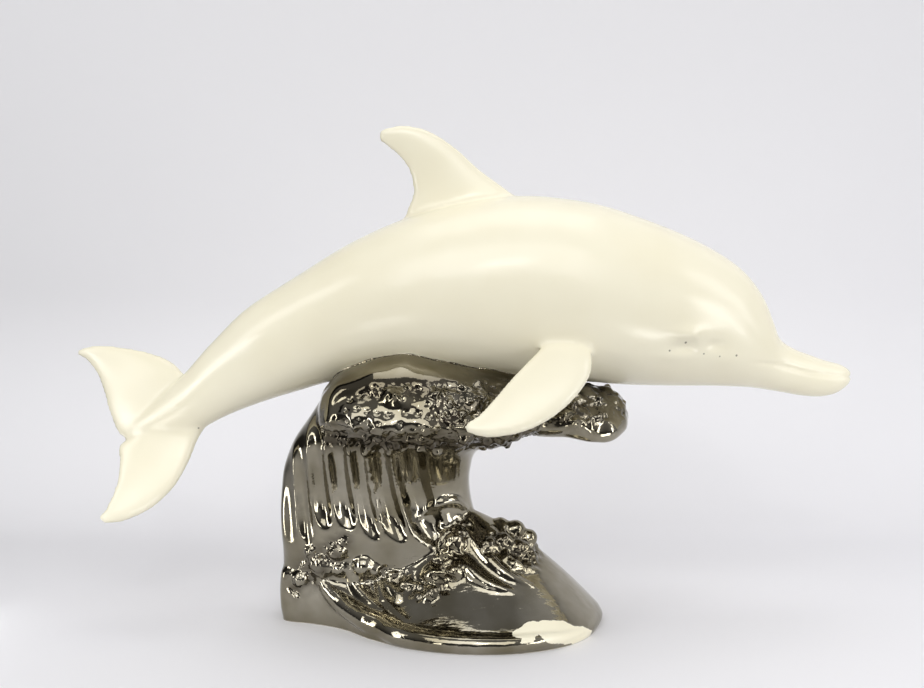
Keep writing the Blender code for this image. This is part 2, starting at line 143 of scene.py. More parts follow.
# %% [markdown]
# The dolphin's body is a spindle, deep at the shoulders and thin at the tail. Every row of the table
# names a point on the back line, the point of the belly line below it and half the width there, so the
# profile that the eye reads first is exactly the one in the table. The last rows step in sharply where
# the round forehead meets the beak.

# %% The body
BODY = [
    (-177, 101.5, -174, 98.5, 1.5),
    (-167, 111, -160, 97.5, 5.0),
    (-155, 122, -142, 100.5, 8.5),
    (-143, 133, -124, 109.5, 11.5),
    (-130, 148, -108, 116, 14.5),
    (-111, 166, -88, 122.5, 19.5),
    (-83, 184, -62, 129.5, 26.0),
    (-55, 201, -38, 132, 32.0),
    (-25, 213.5, -14, 131.5, 37.0),
    (6, 221.5, 10, 130.5, 40.5),
    (35, 223.5, 35, 129.5, 42.0),
    (63, 220.5, 58, 128.5, 41.5),
    (86, 214.5, 79, 127, 39.5),
    (109, 206, 98, 126.2, 36.0),
    (129, 196, 115, 126, 31.5),
    (144, 186, 129, 126, 27.0),
    (154, 174, 140, 125.6, 22.5),
    (160, 160.5, 149, 125.2, 18.0),
    (164, 150.5, 158, 124, 14.0),
    (172, 145, 167, 122.4, 12.0),
    (180, 142, 176, 120.4, 10.8),
    (188, 139.2, 185, 119.8, 9.8),
    (196, 137.2, 193, 121.2, 8.4),
    (200.5, 134.6, 199, 125, 5.6),
    (202.6, 131.4, 202.2, 129.4, 1.2),
]
BODY_RINGS, BODY_SIDES = 200, 96


def body():
    """Oval sections from the back line to the belly line."""
    rings = []
    for back_x, back_z, belly_x, belly_z, half_width in smooth_rows(BODY, BODY_RINGS):
        middle = np.array([(back_x + belly_x) / 2, 0, (back_z + belly_z) / 2])
        rise = np.array([(back_x - belly_x) / 2, 0, (back_z - belly_z) / 2])
        side = np.array([0, half_width, 0])
        rings.append([middle + rise * math.sin(a) + side * math.cos(a) for a in turns(BODY_SIDES)])
    return loft("body", rings)


trunk = body()
print("The body is", round(trunk.dimensions.x * 1000), "mm long")

# %% [markdown]
# Fins and flukes are blades. A row gives the leading edge, the trailing edge and the thickness, and the
# first rows are thick, because the modeller blended each fin into the body with a fillet of clay. The
# edges stay blunt: a slip-cast fin can't be sharp, or it chips when the mould opens.

# %% Fins and flukes
DORSAL_FIN = [
    (38, 0, 210, -24, 0, 198, 19.0),
    (28, 0, 222.5, -29, 0, 212, 13.0),
    (10, 0, 236.2, -25, 0, 225, 10.0),
    (-3, 0, 248, -27, 0, 236.5, 8.0),
    (-17, 0, 256.5, -32, 0, 243.5, 6.6),
    (-30, 0, 259.2, -37.5, 0, 248.5, 5.6),
    (-41, 0, 257.2, -42.5, 0, 252, 4.2),
]
PECTORAL_FIN = [
    (60, -22, 150, 40, -22, 156, 14.0),
    (63.5, -36, 143, 39, -35, 150, 11.0),
    (61, -44, 134, 30, -42, 141, 8.6),
    (52, -51, 124, 21, -48, 132, 7.4),
    (40, -56, 115.4, 14, -53, 124.5, 6.4),
    (25, -60, 110, 8, -57, 119, 5.6),
    (11, -62, 109, 3, -60, 116, 4.6),
    (2.5, -62.5, 111.5, 0.8, -62, 114.2, 3.6),
]
UPPER_FLUKE = [
    (-130, 0, 112, -168, 0, 99, 15.0),
    (-142, 3, 127, -178, 1, 99, 10.5),
    (-152, 8, 137, -184.5, 5, 110, 8.6),
    (-166.5, 13, 142.2, -189, 10, 121, 7.2),
    (-183, 17, 144.8, -193.5, 14, 130, 6.0),
    (-197, 19, 145, -200, 17.5, 137, 5.0),
    (-205.5, 20, 142.6, -206, 19.5, 139.5, 3.8),
]
LOWER_FLUKE = [
    (-128, 0, 112, -168, 0, 99, 15.0),
    (-135.5, -3, 101.5, -178, -2, 95, 10.5),
    (-140.5, -9, 87.5, -177.5, -6, 88.5, 8.6),
    (-147, -14, 75, -177, -11, 80, 7.2),
    (-157.5, -17, 65, -178.5, -15, 72.5, 6.0),
    (-170.5, -19, 59.2, -181, -18, 65.5, 5.0),
    (-181, -20, 57.6, -184.5, -19.5, 60.6, 3.8),
]
BLADE_RINGS, BLADE_SIDES = 60, 48
BLADE_BLUNTNESS = 0.75  # 1 has an elliptic section, less has blunter edges
BLADE_LEAD, BLADE_FALL = 1.1, 0.4  # thickness at the leading edge, and how much of it is lost behind


def blade(name, table, side=1):
    """Blunt-edged sections from a leading to a trailing edge. side -1 mirrors the blade in Y."""
    rows = smooth_rows(table, BLADE_RINGS)
    lead, trail, thickness = rows[:, :3], rows[:, 3:6], rows[:, 6]
    span = np.gradient((lead + trail) / 2, axis=0)
    rings = []
    for i in range(BLADE_RINGS):
        chord = trail[i] - lead[i]
        normal = np.cross(span[i], chord)
        normal /= np.linalg.norm(normal)
        ring = []
        for angle in turns(BLADE_SIDES):
            along = 0.5 - 0.5 * math.cos(angle)
            bulge = math.copysign(abs(math.sin(angle)) ** BLADE_BLUNTNESS, math.sin(angle))
            bulge *= (BLADE_LEAD - BLADE_FALL * along) * thickness[i] / 2
            point = lead[i] + chord * along + normal * bulge
            ring.append((point[0], side * point[1], point[2]))
        rings.append(ring)
    return loft(name, rings)


blades = [
    blade("dorsal_fin", DORSAL_FIN),
    blade("pectoral_fin_near", PECTORAL_FIN),
    blade("pectoral_fin_far", PECTORAL_FIN, side=-1),
    blade("fluke_upper", UPPER_FLUKE),
    blade("fluke_lower", LOWER_FLUKE),
]
print(len(blades), "blades")

# %% [markdown]
# The body and its blades now pass through each other. Casting slip runs into every inner corner, and a
# voxel remesh does the same: it wraps one even skin round everything. A few rounds of smoothing then
# soften the joins, as the sponge does on the real clay before it is fired.

# %% Helpers for fusing


def joined(name, objects):
    """One object from several, whose shapes still overlap."""
    with bpy.context.temp_override(active_object=objects[0], selected_editable_objects=objects):
        bpy.ops.object.join()
    objects[0].name = objects[0].data.name = name
    return objects[0]


def evaluated(obj):
    """Applies an object's modifiers to its mesh."""
    graph = bpy.context.evaluated_depsgraph_get()
    mesh = bpy.data.meshes.new_from_object(obj.evaluated_get(graph))
    obj.modifiers.clear()
    obj.data = mesh


def fuse(obj, voxel, rounds):
    """Wraps one skin round overlapping shapes and softens it. voxel is the size of its faces in mm."""
    remesh = obj.modifiers.new("fuse", "REMESH")
    remesh.mode = "VOXEL"
    remesh.voxel_size = voxel * MM
    soften = obj.modifiers.new("soften", "SMOOTH")
    soften.factor = 0.5
    soften.iterations = rounds
    evaluated(obj)
    print(obj.name, "has", len(obj.data.polygons), "faces after fusing")


def lighten(obj, triangles):
    """Thins a skin to a number of triangles, most of them where it bends."""
    thin = obj.modifiers.new("lighten", "DECIMATE")
    thin.ratio = triangles / sum(len(face.vertices) - 2 for face in obj.data.polygons)
    evaluated(obj)
    print(obj.name, "is thinned to", len(obj.data.polygons), "faces")


# %% Fuse the dolphin
DOLPHIN_VOXEL, DOLPHIN_ROUNDS = 1.25, 9
dolphin = joined("dolphin", [trunk] + blades)
fuse(dolphin, DOLPHIN_VOXEL, DOLPHIN_ROUNDS)

# %% [markdown]
# The face is shallow. A soft brow stands over two hollows where the closed eye lies, and a thin mouth
# line runs from the cheek to the tip of the beak. Each form is a small swelling or dent that fades out
# smoothly, so it is enough to push the skin along its own normals by a millimetre or two. Reading the
# skin into arrays makes that quick.

# %% Helpers that push a skin in and out


def places_of(obj):
    """The vertices of a mesh as an array of millimetres."""
    flat = np.empty(len(obj.data.vertices) * 3, np.float32)
    obj.data.vertices.foreach_get("co", flat)
    return flat.reshape(-1, 3).astype(float) / MM


def normals_of(obj):
    """The vertex normals of a mesh as an array."""
    flat = np.empty(len(obj.data.vertices) * 3, np.float32)
    obj.data.vertices.foreach_get("normal", flat)
    return flat.reshape(-1, 3).astype(float)


def push(obj, heights):
    """Moves each vertex out along its normal by a height in millimetres."""
    moved = (places_of(obj) + normals_of(obj) * heights[:, None]) * MM
    obj.data.vertices.foreach_set("co", moved.astype(np.float32).ravel())
    obj.data.update()


def fade(values, start, end):
    """0 before start, 1 after end and a soft S between them."""
    share = np.clip((values - start) / (end - start), 0, 1)
    return share * share * (3 - 2 * share)


# %% The face
# Forms on each cheek: x, z, half length, half height, how far they stand out
FACE_FORMS = [
    (111.7, 155.6, 8.0, 3.4, 1.9),
    (109.6, 148.2, 6.0, 2.6, -1.5),
    (125.2, 149.2, 5.5, 2.6, -1.4),
    (117.6, 149.2, 2.2, 3.2, 0.5),
    (104.0, 144.0, 9.0, 3.0, 0.5),
    (131.0, 142.0, 9.0, 4.0, 0.6),
]
MOUTH = [(141, 139.8), (150, 139.3), (160, 138), (169.5, 135.6), (178, 133.6), (190, 132.4), (203, 130.6)]
MOUTH_DEPTH, MOUTH_WIDTH, MOUTH_TAPER = 1.0, 1.1, 22.0
MOUTH_STEPS = 160

skin = places_of(dolphin)
relief = np.zeros(len(skin))
for x, z, half_length, half_height, height in FACE_FORMS:
    away = ((skin[:, 0] - x) / half_length) ** 2 + ((skin[:, 2] - z) / half_height) ** 2
    relief += height * np.exp(-away)
line = smooth_rows(MOUTH, MOUTH_STEPS)
gap = np.min([np.hypot(skin[:, 0] - x, skin[:, 2] - z) for x, z in line], axis=0)
corner = fade(skin[:, 0], line[0][0], line[0][0] + MOUTH_TAPER)
relief -= MOUTH_DEPTH * np.exp(-((gap / MOUTH_WIDTH) ** 2)) * corner
push(dolphin, relief)
print("The face rises", round(relief.max(), 1), "mm and sinks", round(-relief.min(), 1), "mm")

# %% [markdown]
# A hand-finished cast is never true. The clay pulls in a little over its hollow middle, and the long
# highlight on the flank wavers because of it. Noise of two sizes, less than half a millimetre deep,
# gives the same waver without changing the outline.

# %% The waver of the flank
WAVER = [(46.0, 0.55), (17.0, 0.16)]  # size and height of each kind of waver
waver = np.zeros(len(skin))
for size, height in WAVER:
    waver += [height * noise.noise(Vector(place) / size) for place in skin]
push(dolphin, waver)
print("The skin wavers by", round(float(np.ptp(waver)), 2), "mm")

# %% [markdown]
# The wave stands on a low foot like a puddle with a rim. The rim is a thin upright edge at the front
# and grows into a small wall at the left. Behind it the foot rises, hollow in front and full at the
# toe, so it can be lofted from its outline inwards with a rule for the slope.

# %% The foot of the wave
FOOT_DEPTH = 4.0  # how far the wave reaches below the floor before it is cut flat
FOOT_OUTLINE = [
    (-95.5, 3), (-78, -4), (-62, -13), (-46, -29), (-26, -42), (-2, -49), (24, -50), (46, -43),
    (62, -29), (71.5, -9), (74.5, 11), (66, 31), (40, 43), (0, 46), (-45, 42), (-80, 36), (-94, 21),
]
FOOT_MIDDLE = (-10, 2)
FOOT_SIDES = 220
RIM_HEIGHT, RIM_HEIGHT_LEFT = 5.5, 27.0  # the rim stands higher at the left end of the foot
RIM_RISE = (-38, -82)  # between these x it rises from the one height to the other
MOUND_HEIGHT = 64.0
SLOPE_SHARES = np.linspace(0.98, 0.04, 40)  # where the slope is read, from the rim to the middle
HOLLOW_POWER, FULL_POWER = 1.4, 1.6
# The edge of the foot, from below the floor: share of the rim's height, share of the outline
FOOT_EDGE = [(0.0, 0.985), (0.25, 1.0), (0.6, 1.004), (0.85, 0.998), (1.0, 0.99)]


def rim_height(x):
    """How high the rim of the foot stands at an x."""
    start, end = RIM_RISE
    return RIM_HEIGHT + (RIM_HEIGHT_LEFT - RIM_HEIGHT) * float(fade(x, start, end))


def foot():
    """A rounded rim, then a slope that is hollow in front and full at the toe."""
    outline = smooth_rows(FOOT_OUTLINE, FOOT_SIDES, closed=True)
    middle = np.array(FOOT_MIDDLE)
    rings = [[(*(middle + (p - middle) * FOOT_EDGE[0][1]), -FOOT_DEPTH) for p in outline]]
    for up, share in FOOT_EDGE:
        rings.append([(*(middle + (p - middle) * share), up * rim_height(p[0])) for p in outline])
    for share in SLOPE_SHARES:
        ring = []
        for p in outline:
            rim = rim_height(p[0])
            out = (p - middle) / np.linalg.norm(p - middle)
            toe = max(out[0], 0) ** 2
            climb = (1 - toe) * (1 - share) ** HOLLOW_POWER + toe * (1 - share**FULL_POWER)
            ring.append((*(middle + (p - middle) * share), rim + (MOUND_HEIGHT - rim) * climb))
        rings.append(ring)
    return loft("foot", rings)


wave_foot = foot()
print("The foot is", round(wave_foot.dimensions.x * 1000), "mm long")

# %% [markdown]
# Above the foot stands a wall of water, scooped into upright flutes as if fingers had been drawn down
# wet clay. Each flute is a round-bottomed groove between two crisp ribs and ends in a round scoop. The
# flutes lean towards the dolphin's head near their feet. The wall is lofted in level sections, and the
# depth of the flutes is taken off each section.

# %% The fluted wall
WALL = [
    (-FOOT_DEPTH, -96, 20, -4, 38),
    (10, -97, 22, -6, 38),
    (22, -96, 24, -9, 38),
    (35, -95.5, 18, -11, 37),
    (48, -96, 11, -14, 35),
    (60, -96, 6, -15, 33),
    (72, -95, 4, -17, 33),
    (82, -93.5, 4.5, -21.5, 33),
    (92, -90, 8, -28.5, 35),
    (100, -86, 22, -35, 37),
    (110, -79, 36, -38, 38),
    (120, -72.5, 40, -38, 38),
    (128, -67, 38, -34, 34),
    (137, -54, 25, -26, 28),
]  # height, left end, right end, near face, far face
WALL_RINGS, WALL_SIDES = 150, 420
WALL_SQUARENESS = 2.5  # 2 is an ellipse, more is boxier
# The ribs between the flutes, by x under the crest, and the height of each flute's lower end
RIBS = [-95.5, -86.5, -78, -68, -56.5, -47, -35, -17.5]
FLUTE_FEET = [42, 43, 53, 53, 47, 46, 41]
FLUTE_TOP, FLUTE_LEAN = 96, 0.2
FLUTE_END = 15.0  # over this height a flute fades out at its lower end
FLUTE_DEPTH_SHARE, FLUTE_ROUNDNESS = 0.42, 1.0
FAR_FLUTE_SHARE = 0.7


def flute_depth(x, height):
    """How deep a flute cuts at an x and a height, in millimetres."""
    down = min(max((FLUTE_TOP - height) / (FLUTE_TOP - min(FLUTE_FEET)), 0), 1)
    along = RIBS[0] + (x - RIBS[0]) * (1 - FLUTE_LEAN * down**2)
    for left, right, floor in zip(RIBS, RIBS[1:], FLUTE_FEET):
        if left <= along < right:
            half = (right - left) / 2
            across = (along - left) / half - 1
            below = min(height - floor - FLUTE_END, 0) / FLUTE_END
            open_share = max(1 - across**2 - below**2, 0)
            return 2 * half * FLUTE_DEPTH_SHARE * open_share**FLUTE_ROUNDNESS
    return 0.0


def wall():
    """The standing wall of water with its flutes, in level sections."""
    power = 2 / WALL_SQUARENESS
    rings = []
    for height, left, right, near, far in smooth_rows(WALL, WALL_RINGS):
        middle_x, half_x = (left + right) / 2, (right - left) / 2
        middle_y, half_y = (near + far) / 2, (far - near) / 2
        ring = []
        for angle in turns(WALL_SIDES):
            across, back = math.cos(angle), math.sin(angle)
            x = middle_x + math.copysign(abs(across) ** power, across) * half_x
            y = middle_y + math.copysign(abs(back) ** power, back) * half_y
            facing = abs(back) ** (2 - power) / half_y
            facing /= math.hypot(abs(across) ** (2 - power) / half_x, facing)
            cut = facing * flute_depth(x, height)
            cut *= FAR_FLUTE_SHARE if back > 0 else 1
            ring.append((x, y - math.copysign(cut, back), height))
        rings.append(ring)
    return loft("wall", rings)


wave_wall = wall()
print(len(RIBS) - 1, "flutes on each side of the wall")

# %% [markdown]
# The wave breaks into a heavy crest that carries the dolphin. Seen from the front it is a beam that
# narrows to a lumpy nose under the head. It is lofted along X, and coarse noise pushes each point out
# or in, which gives the big lumps. The fine froth comes later.

# %% The crest
CREST = [
    (-73, 112, 5, -4, 16),
    (-69, 116, 11, -5, 29),
    (-60, 120, 15.5, -6, 37),
    (-45, 122.5, 20, -6, 41),
    (-28, 123.5, 22.5, -6, 42),
    (-10, 121.5, 20.5, -6, 42),
    (8, 118.5, 19, -5, 41),
    (24, 115.5, 16.5, -4, 37),
    (36, 115.5, 12.5, -3, 33),
    (50, 114.6, 12.2, -2, 31),
    (64, 112.8, 13.2, -1, 29),
    (76, 112, 12.4, 0, 24),
    (83, 111.2, 8.5, 0, 17),
    (86, 111, 2, 0, 5),
]  # x, centre z, half height, centre y, half depth
CREST_RINGS, CREST_SIDES = 170, 120
CREST_SQUARENESS = 3.0
CREST_TILT = 0.52  # how much the crest's front leans back, so that it catches the light from above
LUMP_HEIGHT, LUMP_SIZE = 5.5, 11.0
LUMP_FULL = 20.0  # half height of the crest at which its lumps have their full height
SMOOTH_TOP, SMOOTH_SHARE = (126, 134), 0.85  # between these heights most of each lump fades out


def crest():
    """A lumpy beam along the dolphin's belly."""
    rings = []
    for x, z, half_height, y, half_depth in smooth_rows(CREST, CREST_RINGS):
        ring = []
        for angle in turns(CREST_SIDES):
            out = np.array([0, math.cos(angle), math.sin(angle)])
            square = np.sign(out) * abs(out) ** (2 / CREST_SQUARENESS) * (0, half_depth, half_height)
            point = np.array([x, y, z]) + square
            point[1] += CREST_TILT * max(-out[1], 0) * square[2]
            lump = noise.noise(Vector(point) / LUMP_SIZE) * LUMP_HEIGHT * min(half_height / LUMP_FULL, 1)
            lump *= 1 - SMOOTH_SHARE * float(fade(point[2], *SMOOTH_TOP))
            ring.append(point + out * lump)
        rings.append(ring)
    return loft("crest", rings)


wave_crest = crest()
print("The crest is", round(wave_crest.dimensions.x * 1000), "mm long")

# %% [markdown]
# Smaller forms lie on the wave's front: long swells that run down the foot, glassy domes and rings of
# foam. Their places are read off as x and z, as seen from the room, and a ray shot along Y finds the
# depth of the surface there. So each one sits on the wave wherever the wave bulges or sinks.

# %% Finding places on the wave
water = joined("water", [wave_foot, wave_wall])
RAY_START = -200.0
PULL_IN = 0.97  # the step by which a place beside the wave moves in until it meets it


def front_of(obj):
    """A function that finds the point and the normal of an object's near side at an x and a z."""
    tree = BVHTree.FromObject(obj, bpy.context.evaluated_depsgraph_get())

    def find(x, z):
        point = None
        while point is None:
            point, normal = tree.ray_cast(Vector((x, RAY_START, z)) * MM, Vector((0, 1, 0)))[:2]
            x, z = x * PULL_IN, z * PULL_IN
        return point / MM, normal

    return find


front = front_of(water)
print("At x -20, z 30 the wave's face is at y", round(front(-20, 30)[0].y, 1))

# %% Swells
# Paths seen from the front: x, z, radius
SWELLS = [
    [(-77, 28, 0.5), (-73, 23, 3), (-67, 17, 4.6), (-60, 12.5, 5.4), (-47, 8.5, 5.6), (-33, 5.5, 5.6),
     (-17, 4.6, 5.2), (0, 4.2, 5), (20, 4.4, 4.6), (40, 5, 3.8), (56, 5, 2), (64, 5, 0.4)],
    [(-60, 36, 0.5), (-58.5, 31, 2.2), (-55, 22, 3.4), (-48.5, 16.5, 4), (-41, 12.6, 3.4), (-30, 9.6, 0.6)],
    [(-43, 31, 0.6), (-42, 22, 2.8), (-37.5, 15.5, 3.2), (-27, 11, 0.6)],
    [(-42, 26, 0.6), (-36, 22.6, 2.2), (-32, 19, 2.6), (-36, 14.6, 0.8)],
    [(-7, 45, 0.5), (-4, 41, 2.4), (3, 35, 3.6), (10, 30, 3.4), (18, 27, 2.4), (28, 25, 0.5)],
    [(4, 50, 0.5), (7, 46, 2), (14, 38.5, 3.2), (22, 32.5, 3), (31, 28.5, 1.6), (38, 26, 0.4)],
    [(18, 42, 0.5), (24, 37, 2.2), (30, 34.6, 2.6), (41, 31.5, 0.6)],
    [(-25, 57, 0.5), (-18, 61.5, 2), (-11, 66.5, 2.8), (-4, 66.5, 2.8), (3, 61, 1)],
]
SWELL_STEPS, ROD_SIDES = 60, 16
SWELL_SUNK = 0.35  # how far a swell sits in the wave, as a share of its radius


def swell(index, points):
    """A rounded ridge that tapers along a path on the wave's near side."""
    rows = smooth_rows(points, SWELL_STEPS)
    places = np.array([front(x, max(z, 1))[0] for x, z, _ in rows])
    run = np.gradient(places, axis=0)
    rings = []
    for place, direction, radius in zip(places, run, rows[:, 2]):
        turn = Vector(direction).to_track_quat("Z", "Y").to_matrix()
        ring = [turn @ Vector((math.cos(a), math.sin(a), 0)) * radius for a in turns(ROD_SIDES)]
        sunk = Vector(place) + Vector((0, SWELL_SUNK * radius, 0))
        rings.append([sunk + point for point in ring])
    return loft(f"swell_{index}", rings)


swells = [swell(i, points) for i, points in enumerate(SWELLS)]
print(len(swells), "swells")

# %% Domes and rings of foam
DOMES = [
    (-51, 33, 6.4), (-45.5, 30.5, 4.4), (-53.5, 27, 3.8), (-3.5, 44.5, 7.2), (-3.5, 32.5, 6.2),
    (-14.5, 30, 6.0), (-15.5, 22.5, 4.2),
    (-73, 33, 7.0), (-84, 24, 5.2), (-64, 41, 5.4), (-63, 31, 4.2), (-78, 40, 4.0),
    (13.5, 44.5, 4.8), (21, 46, 5.0), (29.5, 42, 5.6), (35, 38, 4.4), (26, 36, 3.6),
    (-10, 53, 3.2), (-1.5, 54, 3.2), (-36, 27.5, 3.4), (-28, 25, 3.2),
]  # x, z, radius
RINGS = [(-3.5, 44.5, 8.0, 1.7), (-3.5, 32.5, 6.8, 1.6)]  # x, z, radius, thickness
KNOBS = [(20, 2, 50.5, 5.5), (28, 2, 49, 5.6), (35, 3, 44.5, 5.0)]  # foam on the ridge: x, y, z, radius
RING_STEPS = 40
RING_FACES = (0, -1, 0.35)  # the rings and domes face the room and look a little up
DOME_SUNK = 0.3  # how far a dome sits in the wave, as a share of its radius


def bubble(index, place, radius):
    """A round bubble at a place in millimetres."""
    bm = bmesh.new()
    matrix = Matrix.Translation(Vector(place) * MM)
    bmesh.ops.create_icosphere(bm, subdivisions=4, radius=radius * MM, matrix=matrix)
    mesh = bpy.data.meshes.new(f"bubble_{index}")
    bm.to_mesh(mesh)
    bm.free()
    return linked(mesh.name, mesh)


def dome(index, x, z, radius):
    """A bubble that sits part of the way in the wave's near side."""
    return bubble(index, front(x, z)[0] + Vector((0, DOME_SUNK * radius, 0)), radius)


def foam_ring(index, x, z, radius, thickness):
    """A ring of foam that lies on the wave's near side."""
    place = front(x, z)[0]
    turn = Vector(RING_FACES).to_track_quat("Z", "Y").to_matrix()
    up = Vector((0, 0, 1))
    rings = []
    for around in turns(RING_STEPS):
        out = Vector((math.cos(around), math.sin(around), 0))
        tube = [out * math.cos(a) + up * math.sin(a) for a in turns(ROD_SIDES)]
        rings.append([place + turn @ (out * radius + point * thickness) for point in tube])
    return loft(f"ring_{index}", rings, ends="joined")


domes = [dome(i, *row) for i, row in enumerate(DOMES)]
domes += [bubble(len(DOMES) + i, row[:3], row[3]) for i, row in enumerate(KNOBS)]
foam_rings = [foam_ring(i, *row) for i, row in enumerate(RINGS)]
print(len(domes), "domes and", len(foam_rings), "rings")

# %% [markdown]
# Foam lies in banks along the foot and all over the crest's front. One rule says how foamy a place is,
# from 0 to 1, and three later steps ask it: where beads are strewn, where the skin is pitted, and
# where the lustre looks rough. The smooth strip on top of the crest and the smooth lip under its nose
# come from the same rule.

# %% Where the foam is
FOAM_BANKS = [
    [(-88, 18, 4), (-82, 26, 8), (-73, 34, 9), (-65, 42, 7), (-60, 48, 4)],
    [(-40, 30, 3), (-34, 27, 4), (-26, 26, 3)],
    [(-24, 23, 4), (-14, 27, 6), (-7, 38, 7), (-3, 47, 6), (1, 54, 4)],
    [(12, 46, 4), (20, 46, 6), (29, 43, 6), (37, 38, 5)],
]  # banks seen from the front: x, z and how far each reaches
BANK_STEPS = 30
BANK_CORE = 1.5  # foam is full up to half a reach from a bank, and ends at one and a half
BANK_SHARE = 0.75  # the banks on the foot are less foamy than the crest
CREST_FOOT, CREST_TOP = (93, 100), (128, 135)  # heights between which the crest's foam fades in and out
# The foam's left end, and how far it steps back for each millimetre above its middle
CREST_LEFT, CREST_LEAN, CREST_MIDDLE = -73, 1.1, 108
LIP_ENDS, LIP_TOP = (40, 90), (107, 113)  # the smooth lip under the nose
FADE_IN, FADE_OUT = 4, 6  # lengths over which the foam comes and goes along the crest
TIP_START, TIP_END, TIP_CALM = 60, 76, 0.45  # where the nose gets smoother towards its tip, and how much
FAR_FOAM, FAR_SIDE = 0.5, (0, 20)  # the far side has less foam
LOBE = (-36, 119, 24, 9)  # the glassy lobe on the crest's front: x, z, half length, half height
LOBE_CALM = 0.95  # how much of the froth is missing in the middle of the lobe


def lobe_share(places):
    """1 on the glassy lobe of the crest, 0 away from it."""
    middle_x, middle_z, half_length, half_height = LOBE
    across, up = (places[:, 0] - middle_x) / half_length, (places[:, 2] - middle_z) / half_height
    return np.exp(-(across**4) - up**4) * (places[:, 1] < 0)


def foaminess(places):
    """How foamy each place of an array is, from 0 to 1."""
    x, y, z = places.T
    bank = np.zeros(len(places))
    for path in FOAM_BANKS:
        for row_x, row_z, reach in smooth_rows(path, BANK_STEPS):
            bank = np.maximum(bank, BANK_CORE - np.hypot(x - row_x, z - row_z) / reach)
    bank = np.clip(bank, 0, 1) * BANK_SHARE
    left_end = CREST_LEFT + CREST_LEAN * np.maximum(z - CREST_MIDDLE, 0)
    beam = fade(z, *CREST_FOOT) * (1 - fade(z, *CREST_TOP)) * fade(x - left_end, 0, FADE_OUT)
    lip = fade(x, LIP_ENDS[0] - FADE_IN, LIP_ENDS[0])
    lip *= 1 - fade(x, LIP_ENDS[1], LIP_ENDS[1] + FADE_OUT)
    beam *= 1 - lip * (1 - fade(z, *LIP_TOP))
    beam *= 1 - TIP_CALM * fade(x, TIP_START, TIP_END)
    beam *= 1 - LOBE_CALM * lobe_share(places)
    return np.maximum(bank, beam) * (1 - FAR_FOAM * fade(y, *FAR_SIDE))


wave = joined("wave", [water, wave_crest] + swells + domes + foam_rings)
foam = wave.data.attributes.new("foam", "FLOAT", "POINT")
foam.data.foreach_set("value", foaminess(places_of(wave)).astype(np.float32))
print("Foam covers", round(float(foaminess(places_of(wave)).mean()) * 100), "% of the wave")

# %% [markdown]
# The foam itself is hundreds of beads of clay. A Geometry Nodes tree strews points over the wave, more
# where the foam value is high, and puts a low ball of random size on each. Balls of a few dozen faces
# are enough, since the next step melts them into the skin.

# %% A node tree that strews beads
NODE_ROWS = 6  # nodes are laid out in columns of this many
MOST_BEADS = 4.0e5  # beads on a square metre before the spacing thins them


def plug(tree, made, inputs):
    """Gives each named input of a node a plain value or another node's output."""
    for name, value in inputs.items():
        if isinstance(value, bpy.types.NodeSocket):
            tree.links.new(value, made.inputs[name])
        else:
            made.inputs[name].default_value = value


def node(tree, kind, inputs=None, **settings):
    """Adds a node, changes its settings, and then plugs its inputs."""
    made = tree.nodes.new(kind)
    column, row = divmod(len(tree.nodes), NODE_ROWS)
    made.location = (220 * column, -260 * row)
    for name, value in settings.items():
        setattr(made, name, value)
    plug(tree, made, inputs or {})
    return made


def bead_tree(finish):
    """A tree with sockets for the beads' size, spacing and seed."""
    tree = bpy.data.node_groups.new("foam_beads", "GeometryNodeTree")
    tree.interface.new_socket("Geometry", in_out="INPUT", socket_type="NodeSocketGeometry")
    for name in ("Smallest Radius", "Largest Radius", "Spacing"):
        tree.interface.new_socket(name, in_out="INPUT", socket_type="NodeSocketFloat")
    tree.interface.new_socket("Seed", in_out="INPUT", socket_type="NodeSocketInt")
    tree.interface.new_socket("Geometry", in_out="OUTPUT", socket_type="NodeSocketGeometry")
    given = node(tree, "NodeGroupInput").outputs
    foam_value = node(tree, "GeometryNodeInputNamedAttribute", {"Name": "foam"}, data_type="FLOAT").outputs[0]
    strewn = {"Mesh": given["Geometry"], "Distance Min": given["Spacing"], "Density Max": MOST_BEADS}
    strewn |= {"Density Factor": foam_value, "Seed": given["Seed"]}
    strew = node(tree, "GeometryNodeDistributePointsOnFaces", strewn, distribute_method="POISSON")
    ball = node(tree, "GeometryNodeMeshIcoSphere", {"Radius": 1.0, "Subdivisions": 2})
    sizes = {2: given["Smallest Radius"], 3: given["Largest Radius"], "Seed": given["Seed"]}
    size = node(tree, "FunctionNodeRandomValue", sizes, data_type="FLOAT")
    placed = {"Points": strew.outputs["Points"], "Instance": ball.outputs["Mesh"], "Scale": size.outputs[1]}
    placed = node(tree, "GeometryNodeInstanceOnPoints", placed).outputs[0]
    real = node(tree, "GeometryNodeRealizeInstances", {"Geometry": placed}).outputs[0]
    finished = node(tree, "GeometryNodeSetMaterial", {"Geometry": real, "Material": finish}).outputs[0]
    node(tree, "NodeGroupOutput", {"Geometry": finished})
    return tree


finish = bpy.data.materials.new("glazed_ceramic")
beads_of_foam = bead_tree(finish)
print("The bead tree has", len(beads_of_foam.nodes), "nodes")

# %% Strew the beads
BEADS = {"Smallest Radius": 1.3, "Largest Radius": 2.7, "Spacing": 7.6}
BEAD_SEED, BEAD_CORNERS = 11, 42


def beads_on(obj, tree, sizes, seed):
    """A plain mesh of the beads that a tree strews on an object."""
    carrier = linked("beads", obj.data.copy())
    strewn = carrier.modifiers.new("strew", "NODES")
    strewn.node_group = tree
    for socket in tree.interface.items_tree:
        if socket.in_out == "INPUT" and socket.name in sizes:
            strewn[socket.identifier] = sizes[socket.name] * MM
        elif socket.in_out == "INPUT" and socket.name == "Seed":
            strewn[socket.identifier] = seed
    evaluated(carrier)
    return carrier


